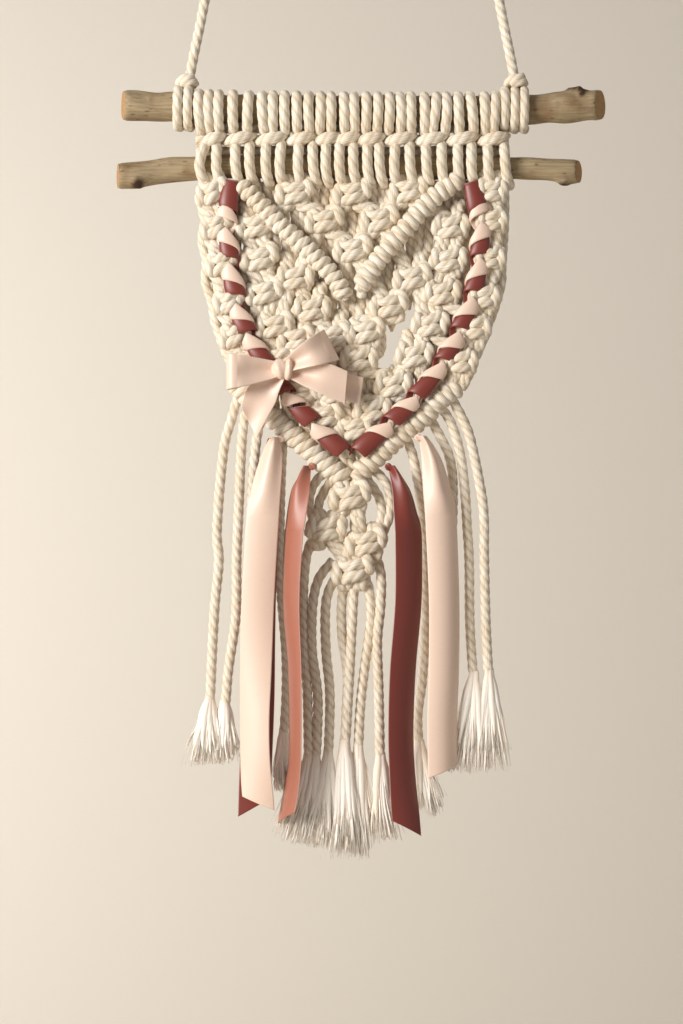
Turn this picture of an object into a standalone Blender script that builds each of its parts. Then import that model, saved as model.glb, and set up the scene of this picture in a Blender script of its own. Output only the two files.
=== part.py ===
"""A macrame wall hanging: a net of cotton cord knotted on two bare branches and laced with satin ribbon.

Frame: X runs to the right along the branches, Y into the wall (the front faces -Y) and Z up. The origin is
midway between the tops of the two hanging loops. The tables are in millimetres, the meshes in metres.
"""

import math
from collections import namedtuple

import bmesh
import bpy
import numpy as np
from mathutils import Euler, Matrix, Vector

MM = 0.001

# Driving sizes, in millimetres.
CORD = 5.0  # diameter of the three-ply cotton cord
RIBBON = 15.5  # width of the satin ribbons
SHEET = 1.0  # thickness of a ribbon's solid
GAP = 0.3  # between pieces that touch in the real object
RIM_DEPTH = 0.5  # how far the V edge sits behind the branches' middle
PANEL_TOP = -129.5  # just under the lower branch's wraps
PANEL_TIP = -263.0  # the panel's lowest point, inside the V edge
PANEL_SLOPE = 0.82  # rise of the V edge for each millimetre sideways
PANEL_FOOT = 57.0  # half the panel's width where the V edge starts
PANEL_HALF = 75.0  # half its width at the lower branch
PANEL_MIDDLE = 0.6  # its middle, a little right of the frame's

# Colours as sRGB hex, with the roughness of each finish.
FINISHES = {
    "cotton": ("E6DAC4", 0.9),
    "branch": ("C9B193", 0.75),
    "peach_satin": ("F0D3C0", 0.4),
    "rose_satin": ("8A4238", 0.4),
    "coral_satin": ("D98573", 0.4),
}

# A section of a bent branch, of a wrapped sleeve, or of a cord with a changing radius.
Section = namedtuple("Section", "x depth z radius")
# A bump on a branch, with its size along X, Y and Z.
Bump = namedtuple("Bump", "x depth z wide deep high")
# A point of a cord's route.
Point = namedtuple("Point", "x depth z")
# A level of a brushed-out cord end.
Level = namedtuple("Level", "z x half_width half_depth")
# A section of a ribbon, measured from its top; turn is how far it has turned from facing front, in degrees.
Fold = namedtuple("Fold", "drop shift depth width turn")
# A level of the panel's side edge.
Side = namedtuple("Side", "z half_width")

TOP_BRANCH = [
    Section(-111.5, 0.0, -90.4, 7.2),
    Section(-86.0, 0.3, -91.6, 7.0),
    Section(-45.0, 0.2, -92.5, 6.9),
    Section(0.0, -0.2, -93.0, 6.8),
    Section(45.0, 0.0, -93.1, 6.8),
    Section(84.0, 0.2, -92.6, 6.9),
    Section(108.0, 0.0, -91.2, 7.4),
    Section(121.0, -0.2, -90.3, 7.6),
]
TOP_BRANCH_BUMPS = [Bump(108.5, -1.5, -84.0, 8.0, 5.0, 3.6)]
LOW_BRANCH = [
    Section(-114.0, -0.5, -124.6, 6.3),
    Section(-100.0, 0.0, -123.4, 6.0),
    Section(-76.0, 0.3, -120.6, 5.8),
    Section(-35.0, 0.2, -119.9, 5.6),
    Section(5.0, -0.2, -120.2, 5.6),
    Section(45.0, 0.0, -120.4, 5.5),
    Section(78.0, 0.2, -120.6, 5.4),
    Section(96.0, 0.0, -121.6, 5.5),
    Section(110.5, -0.2, -122.4, 5.6),
]
LOW_BRANCH_BUMPS = [
    Bump(-102.6, -2.0, -127.4, 6.0, 5.4, 3.4),
    Bump(101.5, -1.0, -126.2, 4.6, 4.0, 2.8),
]

# Cord wound side by side round a branch: its two ends, and how far it stands out above, below and in front.
Wrap = namedtuple("Wrap", "left right above below front")
HEAD_WRAPS = Wrap(-75.4, 70.8, 1.8, 3.4, 4.6)
LOWER_WRAPS = Wrap(-74.6, 75.2, 3.2, 2.8, 4.4)
HITCH_WRAPS = {"left": Wrap(-85.6, -75.8, 2.4, 3.6, 4.8), "right": Wrap(71.2, 84.6, 2.4, 3.6, 4.8)}
HITCH_KNOTS = {
    "left": Bump(-79.6, -0.4, -80.8, 5.2, 6.4, 3.4),
    "right": Bump(78.4, -0.4, -80.8, 6.2, 6.4, 3.4),
}
WRAP_STEP = 20.0  # between the sections of a long run of wraps
HITCH_STEP = 6.0

# The row of slanted twisted bars between the branches.
BARS = 11
BARS_LEFT = -75.4
BARS_RIGHT = 75.6
BARS_HEIGHT = -107.4

# The route of each hanging leg, from its knot on the top branch to the tied loop above.
HANGER_LEGS = {
    "left": [
        Point(-77.9, 0.5, -76.7), Point(-76.6, 0.2, -70.0), Point(-73.3, 0.0, -54.0),
        Point(-69.7, 0.0, -35.6),
    ],
    "right": [
        Point(77.9, 0.5, -76.7), Point(76.6, 0.2, -70.0), Point(73.3, 0.0, -54.0), Point(69.7, 0.0, -35.6),
    ],
}  # fmt: skip
LOOP_KNOT_HEIGHT = 12.0
LOOP_HEIGHT = 36.2  # from the end of the leg to the top of its loop
LOOP_REACH = 5.6  # from the loop's middle to its cord, sideways

# The cords that hang from the left and right legs of the V edge, and from the knotted point.
LEFT_CORDS = [
    [Point(-53.5, 1.5, -226.0), Point(-57.8, 1.8, -241.0), Point(-61.8, 1.6, -257.0),
     Point(-64.8, 1.2, -294.0), Point(-63.9, 1.2, -309.0), Point(-65.9, 1.5, -331.0),
     Point(-67.3, 1.3, -357.0), Point(-68.3, 1.0, -381.0)],
    [Point(-48.5, 1.5, -231.0), Point(-52.4, 2.0, -246.0), Point(-54.8, 1.8, -294.0),
     Point(-55.4, 1.6, -309.0), Point(-55.8, 1.6, -336.0), Point(-59.4, 1.4, -362.0),
     Point(-61.0, 1.2, -383.0)],
    [Point(-42.5, 2.0, -236.5), Point(-46.0, 2.6, -252.0), Point(-48.4, 2.4, -285.0),
     Point(-48.8, 2.0, -330.0), Point(-49.6, 2.0, -372.0), Point(-48.6, 2.0, -397.0)],
    [Point(-32.0, 1.5, -245.0), Point(-33.6, 2.2, -258.0), Point(-34.6, 2.0, -288.0),
     Point(-34.4, 1.8, -319.0), Point(-31.8, 1.6, -352.0), Point(-31.6, 1.6, -374.0),
     Point(-33.0, 1.8, -397.0)],
]
RIGHT_CORDS = [
    [Point(26.0, 1.5, -249.5), Point(30.0, 2.2, -262.0), Point(33.6, 2.0, -286.0), Point(34.6, 1.8, -309.0),
     Point(34.9, 1.6, -345.0), Point(33.8, 1.4, -366.0), Point(31.6, 1.2, -384.0),
     Point(32.4, 1.2, -402.0)],
    [Point(37.4, 2.0, -240.6), Point(43.2, 2.8, -251.0), Point(47.0, 2.8, -260.0), Point(48.6, 2.6, -275.0),
     Point(47.6, 2.4, -309.0), Point(45.8, 2.2, -345.0), Point(45.0, 2.0, -386.0)],
    [Point(42.7, 1.5, -235.4), Point(47.8, 1.8, -243.5), Point(51.8, 1.6, -256.5), Point(54.2, 1.4, -274.0),
     Point(55.4, 1.4, -294.0), Point(56.3, 1.4, -309.0), Point(56.7, 1.4, -341.0), Point(58.6, 1.2, -369.0)],
    [Point(47.4, 1.5, -230.4), Point(52.8, 1.6, -240.2), Point(56.6, 1.6, -249.6), Point(60.6, 1.4, -268.0),
     Point(63.3, 1.2, -286.0), Point(63.6, 1.2, -309.0), Point(64.4, 1.2, -341.0), Point(65.9, 1.0, -368.0)],
]
POINT_CORDS = [
    [Point(-17.0, 1.0, -295.0), Point(-21.6, 2.6, -306.0), Point(-23.4, 2.6, -325.0),
     Point(-22.8, 2.4, -352.0), Point(-21.4, 2.2, -374.0), Point(-20.8, 2.0, -408.0)],
    [Point(-9.0, 1.5, -309.0), Point(-16.0, 2.2, -318.0), Point(-18.9, 1.8, -331.0),
     Point(-19.2, 1.6, -352.0), Point(-16.4, 1.6, -376.0), Point(-17.4, 1.8, -408.0)],
    [Point(-5.0, 0.5, -314.0), Point(-10.4, 0.8, -322.0), Point(-12.7, 0.8, -332.0),
     Point(-12.5, 0.8, -352.0), Point(-10.6, 0.8, -374.0), Point(-11.4, 1.0, -406.0)],
    [Point(-1.0, 2.0, -315.0), Point(-4.6, 2.8, -326.0), Point(-4.8, 3.0, -345.0), Point(-2.2, 3.2, -366.0),
     Point(-3.8, 3.0, -402.0)],
    [Point(1.5, 0.0, -316.0), Point(0.8, -0.6, -326.0), Point(-0.2, -0.8, -345.0),
     Point(-1.4, -0.6, -368.0), Point(-3.4, -0.2, -402.0)],
    [Point(4.0, 1.0, -314.0), Point(8.0, 1.6, -322.0), Point(9.0, 1.8, -338.0), Point(6.2, 2.0, -360.0),
     Point(4.0, 2.0, -380.0), Point(3.0, 1.6, -404.0)],
    [Point(9.0, 1.0, -303.0), Point(13.6, 0.8, -314.0), Point(13.8, 0.4, -330.0), Point(12.2, 0.4, -348.0),
     Point(12.9, 0.4, -372.0), Point(13.6, 0.6, -408.0)],
]
# The cords that run down both sides of the first knot, from the V edge to the second row of knots.
POINT_SIDES = [
    [Point(-6.5, 1.0, -277.6), Point(-13.5, 1.4, -279.5), Point(-18.2, 1.2, -286.0),
     Point(-16.5, 0.8, -293.0)],
    [Point(6.5, 1.0, -278.6), Point(13.5, 1.0, -279.6), Point(18.2, 0.8, -284.0), Point(17.0, 0.6, -292.0),
     Point(12.0, 0.4, -299.0)],
]
POINT_KNOTS = [
    Bump(-1.0, 0.0, -281.2, 10.0, 5.4, 5.4),
    Bump(-12.2, 0.2, -293.6, 7.6, 5.0, 5.4),
    Bump(6.2, 0.0, -299.6, 9.4, 5.2, 6.6),
    Bump(0.6, -0.2, -313.0, 9.2, 5.4, 5.6),
    Bump(-3.0, 0.6, -301.0, 8.0, 4.0, 9.0),
]

# The combed-out ends, from where they open to where they were cut.
BRUSH_DEPTH = 1.4  # of their middle, behind the branches'
LEFT_BRUSHES = [
    [Level(-379.0, -64.6, 5.6, 2.6), Level(-393.0, -65.2, 9.6, 4.0), Level(-408.6, -66.8, 14.4, 4.4)],
    [Level(-392.0, -41.0, 10.4, 2.6), Level(-407.0, -41.4, 11.4, 3.2), Level(-422.0, -42.2, 12.6, 3.0)],
]
RIGHT_BRUSHES = [
    [Level(-399.0, 32.2, 3.2, 2.6), Level(-414.0, 35.2, 4.6, 3.6), Level(-433.0, 38.0, 5.6, 3.6)],
    [Level(-367.0, 57.0, 11.8, 2.4), Level(-385.0, 55.8, 13.6, 3.8), Level(-399.0, 55.8, 15.6, 4.4),
     Level(-412.0, 55.0, 17.0, 4.2)],
]
POINT_BRUSH = [
    Level(-402.0, -3.4, 18.6, 3.4), Level(-418.0, -4.6, 22.6, 4.8), Level(-434.0, -6.2, 29.0, 5.6),
    Level(-444.0, -5.8, 30.5, 5.4), Level(-452.8, -3.6, 21.0, 4.6),
]  # fmt: skip

LEFT_RIM = [
    Section(-56.5, RIM_DEPTH, -223.6, 3.9),
    Section(-48.0, RIM_DEPTH, -232.0, 4.9),
    Section(-38.9, RIM_DEPTH, -240.4, 5.1),
    Section(-21.6, RIM_DEPTH, -254.3, 5.2),
    Section(-12.0, RIM_DEPTH, -262.2, 4.9),
    Section(3.0, RIM_DEPTH, -271.6, 3.9),
]
RIGHT_RIM = [
    Section(51.2, RIM_DEPTH, -227.0, 4.2),
    Section(46.0, RIM_DEPTH, -231.2, 4.8),
    Section(27.8, RIM_DEPTH, -249.2, 5.0),
    Section(14.4, RIM_DEPTH, -261.2, 4.9),
    Section(6.7, RIM_DEPTH, -267.2, 4.7),
    Section(-3.0, RIM_DEPTH, -272.0, 3.9),
]
V_MIDDLE = -1.2

PANEL_SIDES = [
    Side(-129.3, 74.6), Side(-150.0, 75.0), Side(-162.0, 74.4), Side(-175.0, 73.0), Side(-190.0, 69.4),
    Side(-201.5, 65.6), Side(-211.0, 61.4), Side(-217.0, 57.0),
]  # fmt: skip
PANEL_COLUMNS = 20
PANEL_ROWS = 20
PANEL_FRONT = 4.6  # of the cloth between knots, in front of the branches' middle
PANEL_BACK = 3.8
KNOT_FIRST = Point(-1.0, 0.0, -133.0)  # the middle knot of the first row
KNOT_PITCH_X = 27.0  # between square knots in a row
KNOT_PITCH_Z = 27.0  # between every second row of knots
KNOT_HEIGHT = 1.7
BORDER_WIDTH = 11.0
BORDER_HEIGHT = 1.2
RIDGE_HEIGHT = 3.2
RIDGE_HALF_WIDTH = 4.4
# The two inner ridges, as the ends of slightly bent lines.
INNER_RIDGES = [
    [Point(-51.8, 0.0, -130.7), Point(-22.6, 0.0, -159.0), Point(-2.9, 0.0, -185.0)],
    [Point(48.0, 0.0, -129.3), Point(25.0, 0.0, -150.9), Point(1.9, 0.0, -180.6)],
]
# The slanted see-through slit, right of the middle.
SLIT = [
    Point(32.6, 0.0, -189.0), Point(31.0, 0.0, -195.6), Point(26.0, 0.0, -201.6), Point(21.4, 0.0, -209.4),
    Point(13.2, 0.0, -219.0), Point(14.4, 0.0, -208.6), Point(19.2, 0.0, -200.8), Point(23.0, 0.0, -194.2),
]  # fmt: skip

# The lacing runs in front of the panel, just inside its border and down to the tip of the V.
LACING_DEPTH = -7.6
LACING_PITCH = 17.8  # one turn of the two ribbons round each other
LACING_ORBIT = 2.0
LACING_HALF_WIDTH = 4.3
LACING_GROOVE = 6.0  # radius cleared for it in the panel
LACING_STEP = 72.0  # degrees of turn between sections
LACINGS = {
    "left": [
        Point(-57.6, 0.0, -132.0), Point(-59.4, 0.0, -143.0), Point(-59.0, 0.0, -157.6),
        Point(-56.6, 0.0, -175.4), Point(-52.4, 0.0, -194.0), Point(-44.6, 0.0, -209.4),
        Point(-31.4, 0.0, -229.0), Point(-14.6, 0.0, -247.4), Point(-6.4, 0.0, -254.6),
    ],
    "right": [
        Point(57.0, 0.0, -132.0), Point(60.4, 0.0, -143.0), Point(61.0, 0.0, -157.6),
        Point(58.8, 0.0, -176.4), Point(53.0, 0.0, -194.4), Point(42.6, 0.0, -215.0),
        Point(28.6, 0.0, -233.4), Point(13.6, 0.0, -248.0), Point(4.6, 0.0, -255.6),
    ],
}  # fmt: skip

# Each hanging ribbon: where its pinched top is, its folds, and how much lower its right corner is cut.
Hanging = namedtuple("Hanging", "x depth z finish right_corner folds")
RIBBONS = {
    "ribbon_peach_left": Hanging(-37.0, -5.6, -250.0, "peach_satin", -6.4, [
        Fold(0.0, 0.0, 0.0, 4.0, 0), Fold(4.8, -0.7, -0.6, 8.0, 0), Fold(13.0, -2.2, -1.6, 11.5, 5),
        Fold(25.0, -4.1, -2.4, 14.2, 4), Fold(37.4, -5.5, -3.0, RIBBON, 0),
        Fold(79.2, -7.9, -3.2, RIBBON, 0), Fold(112.8, -8.9, -3.2, RIBBON, 14),
        Fold(135.0, -9.4, -3.4, RIBBON, 24), Fold(156.0, -9.0, -3.6, RIBBON, 22),
        Fold(176.0, -7.6, -3.2, RIBBON, 8),
    ]),
    "ribbon_rose_behind": Hanging(-38.2, -3.0, -250.4, "rose_satin", 8.8, [
        Fold(0.0, 0.0, 0.0, 4.0, 0), Fold(13.0, -1.4, -0.4, 10.0, 0), Fold(25.0, -3.0, -0.7, 13.0, 0),
        Fold(79.2, -6.0, -1.2, RIBBON, 0), Fold(123.0, -6.6, -1.2, RIBBON, 0),
        Fold(150.0, -7.6, -1.0, RIBBON, 0), Fold(178.0, -8.6, -0.8, RIBBON, 0),
    ]),
    "ribbon_coral_left": Hanging(-22.1, -5.0, -263.6, "coral_satin", 6.9, [
        Fold(0.0, 0.0, 0.0, 3.4, 20), Fold(5.3, -1.8, -1.8, 7.0, 36), Fold(12.6, -3.6, -3.6, 12.0, 42),
        Fold(31.0, -5.5, -4.6, RIBBON, 54), Fold(64.0, -7.0, -4.8, RIBBON, 58),
        Fold(98.0, -5.2, -4.8, RIBBON, 65), Fold(135.0, -5.0, -4.8, RIBBON, 67),
        Fold(150.0, -6.2, -4.6, RIBBON, 64), Fold(168.0, -9.2, -4.4, RIBBON, 58),
    ]),
    "ribbon_rose_right": Hanging(19.2, -5.0, -263.6, "rose_satin", -8.0, [
        Fold(0.0, 0.0, 0.0, 3.4, -10), Fold(5.5, 2.8, -1.2, 6.4, -24), Fold(12.6, 5.4, -2.4, 10.4, -32),
        Fold(22.6, 6.8, -3.2, 13.6, -34), Fold(32.0, 7.6, -3.4, RIBBON, -34),
        Fold(64.0, 7.6, -3.4, RIBBON, -34), Fold(98.0, 4.9, -3.4, RIBBON, -36),
        Fold(128.0, 4.0, -3.4, RIBBON, -38), Fold(150.0, 4.9, -3.2, RIBBON, -36),
        Fold(173.0, 6.8, -3.0, RIBBON, -26),
    ]),
    "ribbon_peach_right": Hanging(33.6, -5.0, -249.4, "peach_satin", 6.2, [
        Fold(0.0, 0.0, 0.0, 4.0, 0), Fold(4.8, 2.4, -0.6, 6.6, -4), Fold(13.0, 5.0, -1.6, 10.2, -6),
        Fold(25.0, 7.0, -2.0, 13.4, -6), Fold(37.4, 8.6, -2.2, RIBBON, -8),
        Fold(79.2, 10.3, -2.4, RIBBON, -8), Fold(112.8, 10.1, -2.4, RIBBON, -8),
        Fold(135.0, 9.4, -2.2, RIBBON, -14), Fold(160.0, 9.6, -1.8, RIBBON, -20),
    ]),
}  # fmt: skip

# The bow, measured from its knot. A loop or end is a run of sections along its own length, before it is
# turned to its angle: out is along it, depth is towards the wall, width is the ribbon's, side is its shift.
Turn = namedtuple("Turn", "out depth width side")
BOW_AT = Vector((-32.6, -20.4, -218.1))
BOW_KNOT = (4.8, 4.6, 5.4)
BOW_ENDS = {
    "left_loop": (180, [
        Turn(0.0, -1.6, 6.0, 0.0), Turn(9.0, -2.6, 10.0, 0.6), Turn(18.0, -3.4, 14.0, 1.0),
        Turn(24.6, -2.4, 16.5, 1.4), Turn(26.2, 0.4, 17.0, 1.4), Turn(23.4, 2.6, 16.5, 1.2),
        Turn(16.0, 3.0, 13.0, 0.6), Turn(0.0, 1.6, 6.0, 0.0),
    ]),
    "right_loop": (31, [
        Turn(0.0, -1.6, 6.0, 0.0), Turn(8.0, -2.8, 8.4, 0.4), Turn(16.0, -3.6, 12.6, 0.4),
        Turn(24.0, -2.4, 15.5, 0.0), Turn(26.0, 0.4, 16.0, 0.0), Turn(23.0, 2.6, 15.5, 0.0),
        Turn(15.0, 3.0, 12.0, 0.0), Turn(0.0, 1.6, 6.0, 0.0),
    ]),
    "left_tail": (244, [
        Turn(1.0, 0.0, 5.0, 0.0), Turn(8.0, 0.4, 9.6, -2.2), Turn(15.0, 1.0, 12.4, -4.4),
        Turn(24.0, 1.6, 12.8, -4.6),
    ]),
    "right_tail": (-15.5, [
        Turn(1.0, 0.0, 5.0, 0.0), Turn(8.0, -0.2, 9.4, 0.6), Turn(20.0, -0.4, 14.2, 1.0),
        Turn(32.0, 0.4, 15.6, 0.0),
    ]),
    "under_tail": (-16, [
        Turn(1.0, 1.6, 4.0, 0.0), Turn(10.0, 3.0, 8.0, 0.4), Turn(24.0, 3.8, 11.6, 0.6),
        Turn(38.6, 3.8, 13.0, 0.2),
    ]),
}  # fmt: skip
BOW_CUTS = {"left_tail": 9.0, "right_tail": -3.0, "under_tail": 0.5}  # how much further the near side reaches


def clear_scene():
    for thing in list(bpy.data.objects):
        bpy.data.objects.remove(thing, do_unlink=True)


def new_collection(name):
    group = bpy.data.collections.new(name)
    bpy.context.scene.collection.children.link(group)
    return group


def linear(channel):
    """One sRGB channel, 0 to 1, as linear light."""
    return channel / 12.92 if channel <= 0.04045 else ((channel + 0.055) / 1.055) ** 2.4


def finish(name, kind):
    """A material of the piece's own, with the colour and roughness of its kind."""
    colour, roughness = FINISHES[kind]
    material = bpy.data.materials.new(name)
    material.use_nodes = True
    shader = material.node_tree.nodes["Principled BSDF"]
    rgb = [linear(int(colour[i : i + 2], 16) / 255) for i in (0, 2, 4)]
    shader.inputs["Base Color"].default_value = (*rgb, 1.0)
    shader.inputs["Roughness"].default_value = roughness
    shader.inputs["Metallic"].default_value = 0.0
    return material


def smooth_route(points, step):
    """A Catmull-Rom curve through the points, read off every step millimetres or so."""
    fixed = np.array([tuple(p) for p in points], float)
    ends = np.vstack([2 * fixed[0] - fixed[1], fixed, 2 * fixed[-1] - fixed[-2]])
    t = np.linspace(0, 1, 16, endpoint=False)[:, None]
    runs = []
    for a, b, c, d in zip(ends[:-3], ends[1:-2], ends[2:-1], ends[3:], strict=True):
        bend = 2 * a - 5 * b + 4 * c - d
        twist = 3 * b - a - 3 * c + d
        runs.append(0.5 * (2 * b + (c - a) * t + bend * t**2 + twist * t**3))
    dense = np.vstack([*runs, fixed[-1:]])
    along = np.concatenate([[0], np.cumsum(np.linalg.norm(np.diff(dense[:, :3], axis=0), axis=1))])
    count = max(3, round(along[-1] / step) + 1)
    wanted = np.linspace(0, along[-1], count)
    return np.column_stack([np.interp(wanted, along, column) for column in dense.T])


def place(name, mesh, kind, parts, at=(0, 0, 0)):
    """A node's object, with its own finish and its place in its location."""
    thing = bpy.data.objects.new(name, mesh)
    thing.location = Vector(at) * MM
    mesh.materials.clear()
    mesh.materials.append(finish(f"{name} {kind}", kind))
    parts.objects.link(thing)
    return thing


def tube_object(name, sections, helpers, resolution=2):
    """A curve with a round bevel whose radius follows the sections, with closed ends."""
    curve = bpy.data.curves.new(name, "CURVE")
    curve.dimensions = "3D"
    curve.bevel_depth = MM
    curve.bevel_resolution = resolution
    curve.use_fill_caps = True
    spline = curve.splines.new("POLY")
    spline.points.add(len(sections) - 1)
    for point, (x, depth, z, radius) in zip(spline.points, sections, strict=True):
        point.co = (x * MM, depth * MM, z * MM, 1.0)
        point.radius = radius
    thing = bpy.data.objects.new(name, curve)
    helpers.objects.link(thing)
    return thing


def baked(thing):
    """The evaluated mesh of an object, in the scene's frame, with its loose caps welded; the object goes."""
    bpy.context.view_layer.update()
    graph = bpy.context.evaluated_depsgraph_get()
    mesh = bpy.data.meshes.new_from_object(thing.evaluated_get(graph))
    mesh.transform(thing.matrix_world)
    bpy.data.objects.remove(thing, do_unlink=True)
    shape = bmesh.new()
    shape.from_mesh(mesh)
    bmesh.ops.remove_doubles(shape, verts=shape.verts, dist=0.02 * MM)
    bmesh.ops.recalc_face_normals(shape, faces=shape.faces)
    shape.to_mesh(mesh)
    shape.free()
    return mesh


def tube_mesh(sections, helpers, resolution=2):
    return baked(tube_object("tube", sections, helpers, resolution))


def cord_mesh(points, helpers, step=3.0 * CORD, resolution=1):
    """A plain cord along the route, as a mesh to be joined."""
    route = smooth_route(points, step)
    return tube_mesh([Section(*p, CORD / 2) for p in route], helpers, resolution)


def ball_mesh(bump, segments=8, rings=6):
    """An ellipsoid, for a knot or a bump."""
    shape = bmesh.new()
    bmesh.ops.create_uvsphere(shape, u_segments=segments, v_segments=rings, radius=MM)
    bmesh.ops.scale(shape, vec=(bump.wide, bump.deep, bump.high), verts=shape.verts)
    bmesh.ops.translate(shape, vec=Vector((bump.x, bump.depth, bump.z)) * MM, verts=shape.verts)
    mesh = bpy.data.meshes.new("ball")
    shape.to_mesh(mesh)
    shape.free()
    return mesh


def combined(meshes, operation, helpers):
    """The first mesh united with the others, or with the others cut from it."""
    things = [bpy.data.objects.new("piece", mesh) for mesh in meshes]
    for thing in things:
        helpers.objects.link(thing)
        thing.hide_render = True
        thing.display_type = "WIRE"
    for other in things[1:]:
        modifier = things[0].modifiers.new("join", "BOOLEAN")
        modifier.operation = operation
        modifier.solver = "EXACT"
        modifier.object = other
    mesh = baked(things[0])
    for other in things[1:]:
        bpy.data.objects.remove(other, do_unlink=True)
    return mesh


def trimmed(mesh, at, normal):
    """The mesh with all beyond the plane sawn off, and the cut closed."""
    shape = bmesh.new()
    shape.from_mesh(mesh)
    every = shape.verts[:] + shape.edges[:] + shape.faces[:]
    plane = {"plane_co": Vector(at) * MM, "plane_no": Vector(normal)}
    found = bmesh.ops.bisect_plane(shape, geom=every, dist=0.001 * MM, clear_outer=True, **plane)
    edges = [item for item in found["geom_cut"] if isinstance(item, bmesh.types.BMEdge)]
    bmesh.ops.contextual_create(shape, geom=edges)
    bmesh.ops.recalc_face_normals(shape, faces=shape.faces)
    shape.to_mesh(mesh)
    shape.free()
    return mesh


def loft_mesh(rings, closed_ends=True):
    """A skin over rings of the same number of points, in millimetres, closed by a face at each end."""
    shape = bmesh.new()
    rows = [[shape.verts.new(Vector(p) * MM) for p in ring] for ring in rings]
    for one, two in zip(rows, rows[1:], strict=False):
        for i in range(len(one)):
            j = (i + 1) % len(one)
            shape.faces.new((one[i], one[j], two[j], two[i]))
    if closed_ends:
        shape.faces.new(rows[0])
        shape.faces.new(rows[-1])
    bmesh.ops.recalc_face_normals(shape, faces=shape.faces)
    mesh = bpy.data.meshes.new("loft")
    shape.to_mesh(mesh)
    shape.free()
    return mesh


def sheet_mesh(rows, thickness, helpers):
    """An open skin over rows of points, thickened evenly to both sides."""
    shape = bmesh.new()
    verts = [[shape.verts.new(Vector(p) * MM) for p in row] for row in rows]
    for one, two in zip(verts, verts[1:], strict=False):
        for i in range(len(one) - 1):
            shape.faces.new((one[i], one[i + 1], two[i + 1], two[i]))
    mesh = bpy.data.meshes.new("sheet")
    shape.to_mesh(mesh)
    shape.free()
    thing = bpy.data.objects.new("sheet", mesh)
    helpers.objects.link(thing)
    solid = thing.modifiers.new("thickness", "SOLIDIFY")
    solid.thickness = thickness * MM
    solid.offset = 0.0
    solid.use_even_offset = True
    return baked(thing)


def branch(name, sections, bumps, parts, helpers):
    """A bare branch: a bent round stick with slanted saw cuts and a knot or two."""
    route = smooth_route(sections, 17.0)
    stick = tube_mesh([Section(*row) for row in route], helpers, resolution=3)
    left, right = sections[0], sections[-1]
    stick = trimmed(stick, (left.x + 2.0, 0, left.z), (-1.0, -0.16, 0.05))
    stick = trimmed(stick, (right.x - 2.0, 0, right.z), (1.0, -0.22, 0.04))
    mesh = combined([stick, *(ball_mesh(bump) for bump in bumps)], "UNION", helpers)
    return place(name, mesh, "branch", parts)


def at_x(sections, x):
    """The branch's section at x."""
    route = smooth_route(sections, 4.0)
    return Section(*(float(np.interp(x, route[:, 0], column)) for column in route.T))


def sleeve_mesh(sections, wrap, step=WRAP_STEP):
    """Cord wound side by side round a branch: thin above it, fuller in front and below, open at both ends."""
    count = max(3, round((wrap.right - wrap.left) / step) + 1)
    stations = [at_x(sections, x) for x in np.linspace(wrap.left, wrap.right, count)]
    sides = 12
    angles = [2 * math.pi * i / sides for i in range(sides)]
    clearance = 1.0 / math.cos(math.pi / sides)
    outer, inner = [], []
    for index, s in enumerate(stations):
        swell = 1.0 + 0.02 * math.sin(2.4 * index)
        high, low, wide = (s.radius + wrap.above), (s.radius + wrap.below), (s.radius + wrap.front) * swell
        ring = []
        for a in angles:
            tall = high if math.sin(a) > 0 else low
            ring.append((s.x, s.depth - wide * math.cos(a), s.z + tall * math.sin(a)))
        outer.append(ring)
        bore = (s.radius + 1.5 * GAP) * clearance
        inner.append([(s.x, s.depth - bore * math.cos(a), s.z + bore * math.sin(a)) for a in angles])
    around = outer + inner[::-1]
    return welded(loft_mesh([*around, around[0]], closed_ends=False))


def welded(mesh):
    shape = bmesh.new()
    shape.from_mesh(mesh)
    bmesh.ops.remove_doubles(shape, verts=shape.verts, dist=0.001 * MM)
    bmesh.ops.recalc_face_normals(shape, faces=shape.faces)
    shape.to_mesh(mesh)
    shape.free()
    return mesh


def hitch(side, parts, helpers):
    """A leg's round turns on the top branch, with its small knot on top."""
    turns = sleeve_mesh(TOP_BRANCH, HITCH_WRAPS[side], HITCH_STEP)
    mesh = combined([turns, ball_mesh(HITCH_KNOTS[side])], "UNION", helpers)
    return place(f"hanger_hitch_{side}", mesh, "cotton", parts)


def hanger_leg(side, parts):
    """One leg of the hanging cord, as a plain tube."""
    route = smooth_route(HANGER_LEGS[side], 2.2 * CORD)
    thing = tube_object(f"hanger_cord_{side}", [Section(*p, CORD / 2) for p in route], parts)
    thing.data.materials.append(finish(f"{thing.name} cotton", "cotton"))
    return thing


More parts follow.
